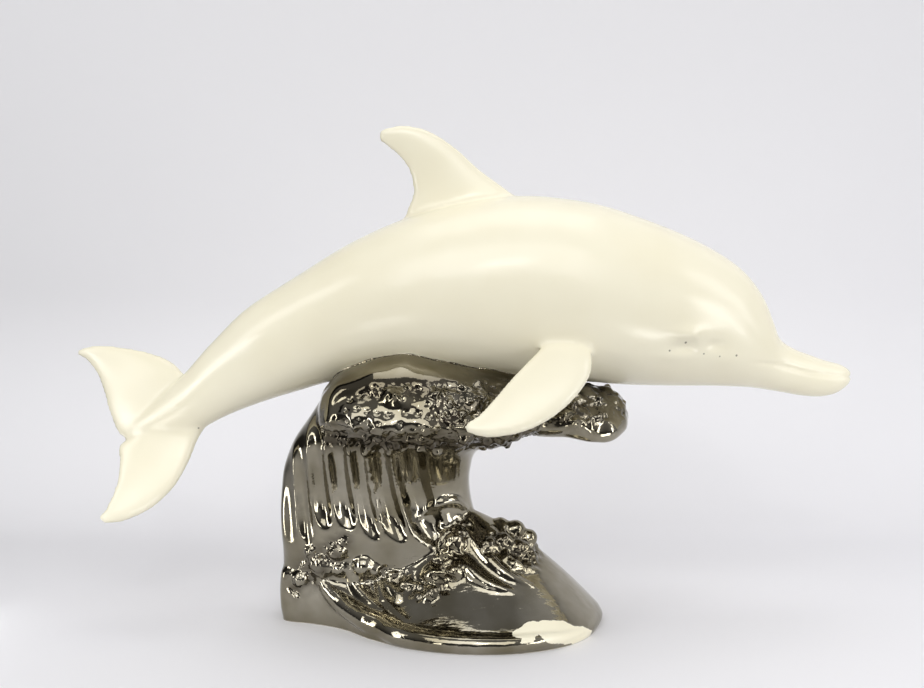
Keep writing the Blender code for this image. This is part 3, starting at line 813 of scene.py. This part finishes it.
beads = beads_on(wave, beads_of_foam, BEADS, BEAD_SEED)
print(len(beads.data.vertices) // BEAD_CORNERS, "beads of foam")

# %% [markdown]
# Now the wave is fused like the dolphin, but with a finer skin, because foam has small forms. After
# that the froth is worked in: cells of noise raise little cushions with creases between them, and
# scattered pits sink where bubbles burst before the glaze set.

# %% Fuse the wave
WAVE_VOXEL, WAVE_ROUNDS = 0.9, 7
wave = joined("wave", [wave, beads])
fuse(wave, WAVE_VOXEL, WAVE_ROUNDS)

# %% Froth and pits
FROTH = [(10.0, 1.5), (5.0, 0.7)]  # width of the cells and height of their cushions
FROTH_BEND = 0.6  # how far the cells are bent out of shape, as a share of their width
CUSHION_SLOPE = 1.8  # how steeply a cushion rises from its crease
FROTH_SEED = 4  # without a seed this noise would start from the clock
PIT_SPACING, PIT_DEPTH, PIT_WIDTH = 4.4, 1.3, 1.1
PIT_FOAM, PIT_LIMIT = 0.5, 0.9  # pits open where the foam value is over the first, and grow up to the second
PIT_SEED, MOST_PITS = 5, 700
PITS_ASKED = 400  # a new pit keeps clear of this many earlier ones
FROTH_ROUNDS = 2  # rounds of smoothing that take the points off the froth


def cushion(place, cell):
    """Height of a cushion of froth, 0 in the creases and 1 on top."""
    bent = Vector(place) / cell
    bent += noise.noise_vector(bent) * FROTH_BEND
    nearest, second = noise.voronoi(bent)[0][:2]
    return min(CUSHION_SLOPE * (second - nearest), 1.0)


noise.seed_set(FROTH_SEED)
skin = places_of(wave)
foam_here = foaminess(skin)
relief = np.zeros(len(skin))
for cell, height in FROTH:
    relief += [height * amount * (cushion(place, cell) - 0.5) for place, amount in zip(skin, foam_here)]

dice = np.random.default_rng(PIT_SEED)
pitted = foam_here + lobe_share(skin)
pits = []
for index in dice.permutation(np.flatnonzero(pitted > PIT_FOAM)):
    place = skin[index]
    if all(np.abs(place - pit).max() > PIT_SPACING for pit in pits[-PITS_ASKED:]):
        pits.append(place)
    if len(pits) == MOST_PITS:
        break
pit_tree = kdtree.KDTree(len(pits))
for index, place in enumerate(pits):
    pit_tree.insert(Vector(place), index)
pit_tree.balance()
pit_gap = np.array([pit_tree.find(Vector(place))[2] for place in skin])
relief -= PIT_DEPTH * np.exp(-((pit_gap / PIT_WIDTH) ** 2)) * np.minimum(pitted, PIT_LIMIT)
push(wave, relief)
rounded = wave.modifiers.new("rounded", "SMOOTH")
rounded.factor, rounded.iterations = 0.5, FROTH_ROUNDS
evaluated(wave)
print(len(pits), "pits in the froth")

# %% [markdown]
# The dolphin lies in the crest, so the two skins cross. A Boolean union keeps the outer skin of both
# and throws away what is inside, which leaves one closed shell like the real cast. A hard crease is
# left along the seam. On the real piece clay and glaze fill it, so the seam alone is smoothed.

# %% One skin
SEAM_REACH = 0.9  # how far from the seam, in millimetres, the skin counts as part of it
SEAM_ROUNDS = 6
SKIN_TRIANGLES = 190000


def distances(places, tree):
    """Distance of each place to a skin, in millimetres."""
    return np.array([tree.find_nearest(Vector(place) * MM)[3] for place in places]) / MM


graph = bpy.context.evaluated_depsgraph_get()
ivory_tree = BVHTree.FromObject(dolphin, graph)
silver_tree = BVHTree.FromObject(wave, graph)
union = wave.modifiers.new("union", "BOOLEAN")
union.operation = "UNION"
union.solver = "MANIFOLD"
union.object = dolphin
evaluated(wave)
bpy.data.objects.remove(dolphin)
figure = wave
figure.name = figure.data.name = "glazed_figurine"
print("One skin of", len(figure.data.polygons), "faces")

# %% Smooth the seam and cut the foot flat


def cut_flat(obj):
    """Cuts the figure off at the floor and closes it with one flat face."""
    bm = bmesh.new()
    bm.from_mesh(obj.data)
    geometry = bm.verts[:] + bm.edges[:] + bm.faces[:]
    cut = bmesh.ops.bisect_plane(bm, geom=geometry, plane_co=(0, 0, 0), plane_no=(0, 0, -1), clear_outer=True)
    rim = [part for part in cut["geom_cut"] if isinstance(part, bmesh.types.BMEdge)]
    bmesh.ops.contextual_create(bm, geom=rim)
    bmesh.ops.triangulate(bm, faces=bm.faces)
    bmesh.ops.recalc_face_normals(bm, faces=bm.faces)
    bm.to_mesh(obj.data)
    bm.free()


skin = places_of(figure)
from_dolphin, from_wave = distances(skin, ivory_tree), distances(skin, silver_tree)
near_seam = np.flatnonzero((from_dolphin < SEAM_REACH) & (from_wave < SEAM_REACH))
seam = figure.vertex_groups.new(name="seam")
seam.add(near_seam.tolist(), 1.0, "REPLACE")
soften = figure.modifiers.new("soften", "SMOOTH")
soften.vertex_group = "seam"
soften.factor, soften.iterations = 0.5, SEAM_ROUNDS
evaluated(figure)
figure.vertex_groups.clear()
lighten(figure, SKIN_TRIANGLES)
cut_flat(figure)
print(len(near_seam), "vertices along the seam, and", len(figure.data.polygons), "triangles in all")

# %% [markdown]
# The finish changes at places that only this figure has: the lustre's painted edge along the belly,
# the froth, painted shade that darkens the lustre in the froth's creases, under the crest and on the
# strip under the belly, and one bare patch on the toe where the lustre is missing and the ivory glaze
# shows. Each is stored on the skin as a number. Signed distances are used for the two edges: they run
# evenly across the edge, so the material can cut them crisply wherever it likes, even between two
# vertices.

# %% Numbers for the finish
# The bare patch on the toe, as x and a height that also counts half of y, so it follows the slope
BARE_PATCH = [
    (24, -13.2), (28.5, -10.3), (32.4, -7.3), (41.2, -5.5), (51.6, -5.1), (56.2, -7.6), (60.8, -7),
    (66.6, -8.5), (64, -13.1), (58, -17.4), (48.4, -18.9), (42, -18.7), (37.1, -14.3), (34.4, -19.2),
    (28.3, -19.8), (29.6, -16.8), (25.4, -16.1),
]
PATCH_BACK, PATCH_TOP = 5, 40  # the patch lies in front of this y and under this z
FAR_OFF = 99.0  # a distance that stands for far away
FLAT_UNDER = 0.1  # faces whose middle is lower than this are flat, because they are the underside
UNDER_CREST = (100, 118)  # between these heights the painted shade under the crest fades out
STRIP_START, STRIP_END = (123, 127), (133, 138)  # the strip under the belly gets painted shade too, between these heights
# How much painted shade the lustre gets in the froth's creases, under the crest and on the strip under the
# belly
CREASE_SHADE, UNDER_CREST_SHADE, STRIP_SHADE = 0.8, 0.85, 0.5


def patch_distance(places):
    """Distance to the edge of the bare patch, positive inside it."""
    flat = np.column_stack([places[:, 0], places[:, 2] + places[:, 1] / 2])
    corners = np.array(BARE_PATCH, float)
    nearest = np.full(len(flat), FAR_OFF)
    inside = np.zeros(len(flat), bool)
    for start, end in zip(corners, np.roll(corners, -1, axis=0)):
        run = end - start
        share = np.clip((flat - start) @ run / (run @ run), 0, 1)
        nearest = np.minimum(nearest, np.linalg.norm(flat - start - share[:, None] * run, axis=1))
        crosses = (start[1] > flat[:, 1]) != (end[1] > flat[:, 1])
        meets = start[0] + (flat[:, 1] - start[1]) / (run[1] if run[1] else 1e-9) * run[0]
        inside ^= crosses & (flat[:, 0] < meets)
    signed = np.where(inside, nearest, -nearest)
    near_side = (places[:, 1] < PATCH_BACK) & (places[:, 2] < PATCH_TOP)
    return np.where(near_side, signed, -FAR_OFF)


def store(obj, name, values):
    """Keeps one number for each vertex as a named attribute."""
    kept = obj.data.attributes.new(name, "FLOAT", "POINT")
    kept.data.foreach_set("value", np.asarray(values, np.float32))


if "foam" in figure.data.attributes:
    figure.data.attributes.remove(figure.data.attributes["foam"])
skin = places_of(figure)
store(figure, "lustre_side", distances(skin, ivory_tree) - distances(skin, silver_tree))
store(figure, "bare_side", patch_distance(skin))
foam_here = foaminess(skin)
store(figure, "foam", foam_here)
# Painted shade, stored as the attribute 'thin': the lustre is darkened in the froth's creases, under the
# crest and on the strip under the belly
crease = 1 - np.array([cushion(place, FROTH[0][0]) for place in skin])
under = (1 - fade(skin[:, 2], *UNDER_CREST)) * fade(skin[:, 2], *CREST_FOOT)
strip = fade(skin[:, 2], *STRIP_START) * (1 - fade(skin[:, 2], *STRIP_END))
thin = foam_here * np.maximum(CREASE_SHADE * crease, UNDER_CREST_SHADE * under)
store(figure, "thin", np.maximum(thin, STRIP_SHADE * strip))
figure.data.materials.clear()
figure.data.materials.append(finish)
for face in figure.data.polygons:
    face.use_smooth = face.center.z > FLAT_UNDER * MM
print("Four numbers are kept for each of", len(skin), "vertices")

# %% [markdown]
# The glaze and the lustre are one shader with masks, as they are one surface on the real piece. Small
# groups make the masks. The first cuts an edge from a stored distance and lets a brush waver along it,
# and serves both the painted edge and the bare patch. Nodes are added by short helpers, because a
# shader reads best as sums: maths, a range, a mix, a noise.

# %% Shader helpers
SOCKET_KINDS = {type(None): "Vector", float: "Float", tuple: "Color"}


def group(name, inputs, outputs):
    """An empty shader node group and its input sockets. Inputs are a place (None), numbers or colours."""
    tree = bpy.data.node_groups.new(name, "ShaderNodeTree")
    for socket, value in inputs.items():
        kind = "NodeSocket" + SOCKET_KINDS[type(value)]
        made = tree.interface.new_socket(socket, in_out="INPUT", socket_type=kind)
        if value is not None:
            made.default_value = value
    for socket in outputs:
        kind = "NodeSocketColor" if socket == "Color" else "NodeSocketFloat"
        tree.interface.new_socket(socket, in_out="OUTPUT", socket_type=kind)
    return tree, node(tree, "NodeGroupInput").outputs


def maths(tree, kind, first, second, clamp=False):
    """A Math node on two sockets or numbers. Returns its output."""
    return node(tree, "ShaderNodeMath", {0: first, 1: second}, operation=kind, use_clamp=clamp).outputs[0]


def noise_of(tree, vector, scale, detail):
    """A Noise Texture. Returns its value."""
    inputs = {"Vector": vector, "Scale": scale, "Detail": detail, "Roughness": 0.55}
    return node(tree, "ShaderNodeTexNoise", inputs).outputs[0]


def ranged(tree, value, low, high, to_low, to_high):
    """A Map Range from one span to another, clamped. Returns its output."""
    inputs = {"Value": value, "From Min": low, "From Max": high, "To Min": to_low, "To Max": to_high}
    return node(tree, "ShaderNodeMapRange", inputs).outputs[0]


def mixed(tree, share, first, second):
    """A mix of two colours. Returns its output."""
    return node(tree, "ShaderNodeMix", {0: share, 6: first, 7: second}, data_type="RGBA").outputs[2]


def blended(tree, share, first, second):
    """A mix of two numbers. Returns its output."""
    return node(tree, "ShaderNodeMix", {0: share, 2: first, 3: second}).outputs[0]


print("Shader helpers are ready")

# %% The painted edge


def painted_edge_group():
    """Cuts a mask from a signed distance. A brush waver moves the edge in and out."""
    inputs = {"Distance": 0.0, "Vector": None, "Waver": 0.8, "Waver Scale": 160.0, "Offset": 0.0}
    inputs["Softness"] = 0.12
    tree, given = group("painted_edge", inputs, ["Mask"])
    wander = maths(tree, "SUBTRACT", noise_of(tree, given["Vector"], given["Waver Scale"], 4.0), 0.5)
    edge = maths(tree, "ADD", given["Distance"], maths(tree, "MULTIPLY", wander, given["Waver"]))
    share = maths(tree, "DIVIDE", maths(tree, "SUBTRACT", edge, given["Offset"]), given["Softness"])
    node(tree, "NodeGroupOutput", {"Mask": maths(tree, "ADD", share, 0.5, clamp=True)})
    return tree


painted_edge = painted_edge_group()
print("painted_edge gives", [s.name for s in painted_edge.interface.items_tree if s.in_out == "OUTPUT"])

# %% [markdown]
# Fired glaze is glass that ran and levelled. Close up it has a faint orange peel, and here and there a
# gas bubble left a pinhole with a dark centre. The pinholes come from a cell pattern: a dot at the
# middle of a cell, kept only where a slow noise is high, so they are few and not evenly spread. A few
# larger specks of iron lie round the eye, and each has its own place.

# %% The skin of the glaze
SLOW_SCALE, SLOW_HEIGHT, PEEL_HEIGHT = 28.0, 3.0, 0.18
PINHOLE_RIM, PINHOLE_NOISE = (0.018, 0.035), 3.1


def glaze_skin_group():
    """Height of a glazed surface: slow waver, orange peel and pinholes."""
    inputs = {"Vector": None, "Peel Scale": 260.0, "Pinhole Scale": 55.0, "Pinhole Share": 0.62}
    tree, given = group("glaze_skin", inputs, ["Height", "Pinholes"])
    slow = maths(tree, "MULTIPLY", noise_of(tree, given["Vector"], SLOW_SCALE, 1.0), SLOW_HEIGHT)
    peel = maths(tree, "MULTIPLY", noise_of(tree, given["Vector"], given["Peel Scale"], 2.0), PEEL_HEIGHT)
    cells = {"Vector": given["Vector"], "Scale": given["Pinhole Scale"]}
    cells = node(tree, "ShaderNodeTexVoronoi", cells).outputs
    few = noise_of(tree, cells["Position"], PINHOLE_NOISE, 0.0)
    few = maths(tree, "GREATER_THAN", few, given["Pinhole Share"])
    holes = maths(tree, "MULTIPLY", ranged(tree, cells["Distance"], *PINHOLE_RIM, 1.0, 0.0), few)
    height = maths(tree, "SUBTRACT", maths(tree, "ADD", slow, peel), holes)
    node(tree, "NodeGroupOutput", {"Height": height, "Pinholes": holes})
    return tree


glaze_skin = glaze_skin_group()
print("glaze_skin has", len(glaze_skin.nodes), "nodes")

# %% Specks
# Dark specks round the eye and on the tail, as x, z and radius in millimetres
SPECKS = [
    (102.1, 146.9, 0.45), (109.9, 150.9, 0.55), (119.7, 145.0, 0.4), (128.0, 143.5, 0.35),
    (136.7, 143.8, 0.5), (-136.1, 104.3, 0.4),
]
SPECK_EDGE = 0.2  # how softly a speck ends
SPECK_SHARE = 0.8  # how dark a speck is


def specks_group():
    """A mask of the specks on the near side, from each one's distance in x and z."""
    tree, given = group("specks", {"Vector": None}, ["Mask"])
    place = given["Vector"]
    flat = node(tree, "ShaderNodeVectorMath", {0: place, 1: (1.0, 0.0, 1.0)}, operation="MULTIPLY").outputs[0]
    total = 0.0
    for x, z, radius in SPECKS:
        ends = {0: flat, 1: (x * MM, 0.0, z * MM)}
        gap = node(tree, "ShaderNodeVectorMath", ends, operation="DISTANCE").outputs["Value"]
        inner, outer = (radius - SPECK_EDGE) * MM, (radius + SPECK_EDGE) * MM
        total = maths(tree, "MAXIMUM", ranged(tree, gap, inner, outer, 1.0, 0.0), total)
    near = maths(tree, "LESS_THAN", node(tree, "ShaderNodeSeparateXYZ", {0: place}).outputs["Y"], 0.0)
    node(tree, "NodeGroupOutput", {"Mask": maths(tree, "MULTIPLY", total, near)})
    return tree


specks = specks_group()
print(len(SPECKS), "specks")

# %% [markdown]
# The lustre is a film of metal a few thousandths of a millimetre thick. It mirrors the room, and the
# froth breaks its mirror into sparks. In the froth's creases, under the crest and on the strip under the
# belly it is darkened with painted shade. Its tone, its gloss and its fine hammered relief come from
# noise of several sizes, and all of them get rougher with the foam value.

# %% The skin of the lustre
BRIGHT_METAL, DARK_METAL = (0.36, 0.335, 0.272, 1), (0.22, 0.196, 0.135, 1)
# Near-black colour of the painted shade on the lustre
PAINTED_SHADE_METAL = (0.05, 0.04, 0.028, 1)
FILM_SCALE, FILM_SPAN = 34.0, (0.35, 0.7)
SMUDGE_SCALE, SMUDGE, FOAM_ROUGH = 90.0, 0.06, 0.04  # what smudges and foam add to the roughness
HAMMER_SCALE, GRAIN_SCALE, GRAIN = 620.0, 900.0, 0.12
STROKE_SCALE, STROKE_STRETCH = 160.0, (0.16, 1.0, 1.0)


def lustre_skin_group():
    """Tone, roughness and height of a metal film over glaze."""
    inputs = {"Vector": None, "Foam": 0.0, "Painted Shade": 0.0, "Strokes": 0.0, "Gloss": 0.035}
    inputs |= {"Bright": BRIGHT_METAL, "Dark": DARK_METAL, "Shade Colour": PAINTED_SHADE_METAL}
    tree, given = group("lustre_skin", inputs, ["Color", "Roughness", "Height"])
    place, foam_here = given["Vector"], given["Foam"]
    film = ranged(tree, noise_of(tree, place, FILM_SCALE, 3.0), *FILM_SPAN, 0.0, 1.0)
    # The tone turns to painted shade where the Painted Shade input is high
    tone = mixed(tree, given["Painted Shade"], mixed(tree, film, given["Dark"], given["Bright"]), given["Shade Colour"])
    smudge = maths(tree, "MULTIPLY", noise_of(tree, place, SMUDGE_SCALE, 4.0), SMUDGE)
    rough = maths(tree, "ADD", smudge, given["Gloss"])
    rough = maths(tree, "ADD", rough, maths(tree, "MULTIPLY", foam_here, FOAM_ROUGH))
    hammer = {"Vector": place, "Scale": HAMMER_SCALE}
    hammer = node(tree, "ShaderNodeTexVoronoi", hammer, feature="SMOOTH_F1")
    pits = maths(tree, "MULTIPLY", hammer.outputs["Distance"], foam_here)
    grain = maths(tree, "MULTIPLY", noise_of(tree, place, GRAIN_SCALE, 2.0), GRAIN)
    along = {0: place, 1: STROKE_STRETCH}
    along = node(tree, "ShaderNodeVectorMath", along, operation="MULTIPLY").outputs[0]
    strokes = maths(tree, "MULTIPLY", noise_of(tree, along, STROKE_SCALE, 3.0), given["Strokes"])
    height = maths(tree, "ADD", pits, maths(tree, "ADD", grain, strokes))
    node(tree, "NodeGroupOutput", {"Color": tone, "Roughness": rough, "Height": height})
    return tree


lustre_skin = lustre_skin_group()
print("lustre_skin has", len(lustre_skin.nodes), "nodes")

# %% [markdown]
# The material puts them together. Lustre lies where the signed distance says wave, but not on the bare
# patch. Under it the glaze is cream, warmer in random patches where it pooled. The flat underside was
# wiped before firing, so it shows dry clay.

# %% The material
IVORY, POOLED = (0.95, 0.9, 0.71, 1), (0.87, 0.8, 0.58, 1)
SPECK_BROWN = (0.1, 0.08, 0.05, 1)
DRY_CLAY, GROG = (0.72, 0.69, 0.62, 1), (0.5, 0.47, 0.41, 1)
DRY_ROUGHNESS = 0.85
IVORY_GLOSS = (0.19, 0.26)  # least and most roughness of the ivory glaze
FILM_STEP = 0.25  # how far the lustre stands over the glaze, as a share of the relief
PAINTED_EDGE = {"Waver": 1.4, "Waver Scale": 130.0, "Offset": -0.35, "Softness": 0.15}
BARE_EDGE = {"Waver": 2.6, "Waver Scale": 260.0, "Offset": 0.0, "Softness": 0.2}
STROKES, STROKES_TOP = 1.6, (0.03, 0.05)  # brush strokes on the foot fade out at these heights, in metres
POOL_SCALE, POOL_SPAN, POOL_SHARE = 22.0, (0.42, 0.72), 0.35
GLOSS_SCALE, GLOSS_SPAN = 60.0, (0.3, 0.7)
GROG_SCALE, CLAY_TOP = 700.0, (0.00015, 0.0005)  # the dry clay ends between these heights, in metres
RELIEF = {"Strength": 0.5, "Distance": 0.0004}


def glazed_ceramic(made):
    """Ivory glaze, metal lustre over it, and dry clay underneath."""
    made.use_nodes = True
    tree = made.node_tree
    place = node(tree, "ShaderNodeTexCoord").outputs["Object"]
    height_here = node(tree, "ShaderNodeSeparateXYZ", {0: place}).outputs["Z"]

    def stored(name):
        return node(tree, "ShaderNodeAttribute", attribute_name=name).outputs["Fac"]

    def grouped(kind, inputs):
        inputs = {"Vector": place, **inputs}
        return node(tree, "ShaderNodeGroup", inputs, node_tree=kind, label=kind.name).outputs

    painted = grouped(painted_edge, {"Distance": stored("lustre_side"), **PAINTED_EDGE})["Mask"]
    bare = grouped(painted_edge, {"Distance": stored("bare_side"), **BARE_EDGE})["Mask"]
    metal = maths(tree, "MULTIPLY", painted, maths(tree, "SUBTRACT", 1.0, bare))
    glaze = grouped(glaze_skin, {})
    strokes = ranged(tree, height_here, *STROKES_TOP, STROKES, 0.0)
    # The stored attribute 'thin' carries the painted shade into the lustre
    film = grouped(lustre_skin, {"Foam": stored("foam"), "Painted Shade": stored("thin"), "Strokes": strokes})

    pooled = ranged(tree, noise_of(tree, place, POOL_SCALE, 2.0), *POOL_SPAN, 0.0, POOL_SHARE)
    dots = maths(tree, "MULTIPLY", grouped(specks, {})["Mask"], SPECK_SHARE)
    dots = maths(tree, "MAXIMUM", dots, glaze["Pinholes"])
    cream = mixed(tree, dots, mixed(tree, pooled, IVORY, POOLED), SPECK_BROWN)
    under = ranged(tree, height_here, *CLAY_TOP, 1.0, 0.0)
    grog = mixed(tree, noise_of(tree, place, GROG_SCALE, 3.0), DRY_CLAY, GROG)
    colour = mixed(tree, under, mixed(tree, metal, cream, film["Color"]), grog)

    metallic = maths(tree, "MULTIPLY", metal, maths(tree, "SUBTRACT", 1.0, under))
    ivory_rough = ranged(tree, noise_of(tree, place, GLOSS_SCALE, 3.0), *GLOSS_SPAN, *IVORY_GLOSS)
    rough = blended(tree, metal, ivory_rough, film["Roughness"])
    rough = blended(tree, under, rough, DRY_ROUGHNESS)
    relief = blended(tree, metal, glaze["Height"], film["Height"])
    relief = maths(tree, "ADD", relief, maths(tree, "MULTIPLY", metal, FILM_STEP))
    bump = node(tree, "ShaderNodeBump", {"Height": relief, **RELIEF}).outputs[0]
    finished = {"Base Color": colour, "Metallic": metallic, "Roughness": rough, "Normal": bump}
    plug(tree, tree.nodes["Principled BSDF"], finished)


glazed_ceramic(finish)
print("The material has", len(finish.node_tree.nodes), "nodes")

# %% [markdown]
# The stage is a pale table with a pale sheet that sweeps up behind it. The sheet shows only its front,
# so the figure can be looked at from behind as well. Behind the camera the room is dark: that is what
# makes the lustre look dark, while the pale table makes its lower parts light.

# %% The stage
SWEEP_START, SWEEP_RADIUS, SWEEP_HEIGHT = 170.0, 160.0, 2400.0
STAGE_HALF, STAGE_FRONT = 2600.0, -1500.0
SWEEP_STEPS = 24
TABLE_HALF, TABLE_FRONT, TABLE_BACK, TABLE_DROP = 4000.0, -1500.0, 4000.0, -0.6
PAPER, PAPER_ROUGHNESS = (0.86, 0.855, 0.875, 1), 0.75
DARK_FROM, DARK_TO = 0.1, 0.4  # the table fades into the dark room this far in front, in metres
DARK_SIDE = -0.8  # it fades out to the left as well, at this share of the pace
DARK = (0.02, 0.018, 0.015, 1)


def dark_room(tree, colour):
    """A colour that fades into a dark room towards the front, in reflections alone."""
    surface = node(tree, "ShaderNodeNewGeometry").outputs["Position"]
    place = node(tree, "ShaderNodeSeparateXYZ", {0: surface}).outputs
    forward = maths(tree, "MULTIPLY", place["Y"], -1.0)
    sideways = maths(tree, "MULTIPLY", place["X"], DARK_SIDE)
    away = ranged(tree, maths(tree, "MAXIMUM", forward, sideways), DARK_FROM, DARK_TO, 0.0, 1.0)
    seen = node(tree, "ShaderNodeLightPath").outputs["Is Camera Ray"]
    share = maths(tree, "MULTIPLY", away, maths(tree, "SUBTRACT", 1.0, seen))
    return mixed(tree, share, colour, DARK)


def stage_material(name, one_sided=False):
    """A matt paper surface, seen from the front alone if it is one-sided."""
    made = bpy.data.materials.new(name)
    made.use_nodes = True
    tree = made.node_tree
    shader = tree.nodes["Principled BSDF"]
    plug(tree, shader, {"Base Color": dark_room(tree, PAPER), "Roughness": PAPER_ROUGHNESS})
    if one_sided:
        behind = node(tree, "ShaderNodeNewGeometry").outputs["Backfacing"]
        clear = node(tree, "ShaderNodeBsdfTransparent").outputs[0]
        mix = node(tree, "ShaderNodeMixShader", {0: behind, 1: shader.outputs[0], 2: clear}).outputs[0]
        plug(tree, tree.nodes["Material Output"], {"Surface": mix})
    return made


def sweep():
    """A sheet that lies flat and curves up behind the figure."""
    profile = [(STAGE_FRONT, 0.0), (SWEEP_START, 0.0)]
    for angle in np.linspace(0, math.pi / 2, SWEEP_STEPS)[1:]:
        across, up = SWEEP_RADIUS * math.sin(angle), SWEEP_RADIUS * (1 - math.cos(angle))
        profile.append((SWEEP_START + across, up))
    profile.append((SWEEP_START + SWEEP_RADIUS, SWEEP_HEIGHT))
    mesh = bpy.data.meshes.new("sweep")
    bm = bmesh.new()
    left = [bm.verts.new((-STAGE_HALF * MM, y * MM, z * MM)) for y, z in profile]
    right = [bm.verts.new((STAGE_HALF * MM, y * MM, z * MM)) for y, z in profile]
    for i in range(len(profile) - 1):
        bm.faces.new((left[i], right[i], right[i + 1], left[i + 1]))
    bm.to_mesh(mesh)
    bm.free()
    for face in mesh.polygons:
        face.use_smooth = True
    return linked("sweep", mesh)


paper = sweep()
paper.data.materials.append(stage_material("pale_paper", one_sided=True))
ends = [(-TABLE_HALF, TABLE_FRONT), (TABLE_HALF, TABLE_FRONT), (TABLE_HALF, TABLE_BACK)]
ends.append((-TABLE_HALF, TABLE_BACK))
table_mesh = bpy.data.meshes.new("table")
table_mesh.from_pydata([Vector((x, y, TABLE_DROP)) * MM for x, y in ends], [], [(0, 1, 2, 3)])
table = linked("table", table_mesh)
table.data.materials.append(stage_material("pale_table"))
print("The sweep has", len(paper.data.polygons), "faces")

# %% [markdown]
# Light comes from soft boxes: a large one high in front that draws the highlight along the flank, one
# on each side and one overhead. The lustre needs more than that, since a mirror shows only what stands
# round it. Small boxes near the table draw the glints in the flutes, and light nothing else.

# %% The lights
# Name, place, aim, width, height, watts
SOFT_BOXES = [
    ("front_box", (-120, -1150, 950), (0, 0, 130), 1300, 850, 8.3),
    ("window", (-60, -1050, 740), (0, 0, 130), 130, 40, 0.7),
    ("left_box", (-1150, -650, 650), (0, 0, 110), 260, 900, 2.85),
    ("right_box", (1200, -500, 650), (0, 0, 110), 260, 900, 2.3),
    ("top_box", (0, 50, 1350), (0, 0, 100), 1000, 700, 3.9),
    ("low_left_box", (-640, -420, 150), (-40, 0, 70), 100, 320, 0.9),
    ("low_right_box", (620, -460, 170), (-40, 0, 70), 110, 340, 0.9),
    ("glint_side", (-270, 15, 26), (-80, 0, 60), 30, 60, 0.045),
    ("glint_left", (-270, -180, 26), (-50, -20, 50), 50, 50, 0.05),
    ("glint_middle", (-130, -270, 26), (-50, -20, 50), 30, 50, 0.03),
    ("glint_right", (160, -190, 26), (-50, -20, 50), 50, 50, 0.05),
]
ROOM_WHITE, BACKDROP = (0.97, 0.97, 1.0, 1), 0.85  # colour of the room, and how bright the eye sees it
# Between the first two numbers, as a direction's Z or X, the room's brightness goes from one to the other
ROOM_ABOVE, ROOM_RIGHT = (0.1, 0.7, 0.06, 0.28), (0.2, 0.7, 0.0, 0.3)

for name, place, aim, width, height, watts in SOFT_BOXES:
    light = bpy.data.lights.new(name, "AREA")
    light.shape = "RECTANGLE"
    light.size, light.size_y = width * MM, height * MM
    light.energy = watts
    box = bpy.data.objects.new(name, light)
    box.visible_camera = False
    box.visible_diffuse = not name.startswith("glint")
    box.location = Vector(place) * MM
    box.rotation_euler = (Vector(aim) - Vector(place)).to_track_quat("-Z", "Y").to_euler()
    bpy.context.scene.collection.objects.link(box)

world = bpy.data.worlds.new("room")
world.use_nodes = True
bpy.context.scene.world = world
tree = world.node_tree
looking = node(tree, "ShaderNodeTexCoord").outputs["Generated"]
direction = node(tree, "ShaderNodeSeparateXYZ", {0: looking}).outputs
above, beside = ranged(tree, direction["Z"], *ROOM_ABOVE), ranged(tree, direction["X"], *ROOM_RIGHT)
seen = node(tree, "ShaderNodeLightPath").outputs["Is Camera Ray"]
strength = blended(tree, seen, maths(tree, "ADD", above, beside), BACKDROP)
plug(tree, tree.nodes["Background"], {"Color": ROOM_WHITE, "Strength": strength})
bpy.context.scene.view_settings.view_transform = "Standard"
print(len(SOFT_BOXES), "soft boxes")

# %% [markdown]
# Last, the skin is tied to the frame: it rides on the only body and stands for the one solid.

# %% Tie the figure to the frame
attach(figure, "root")
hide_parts(FIGURE)
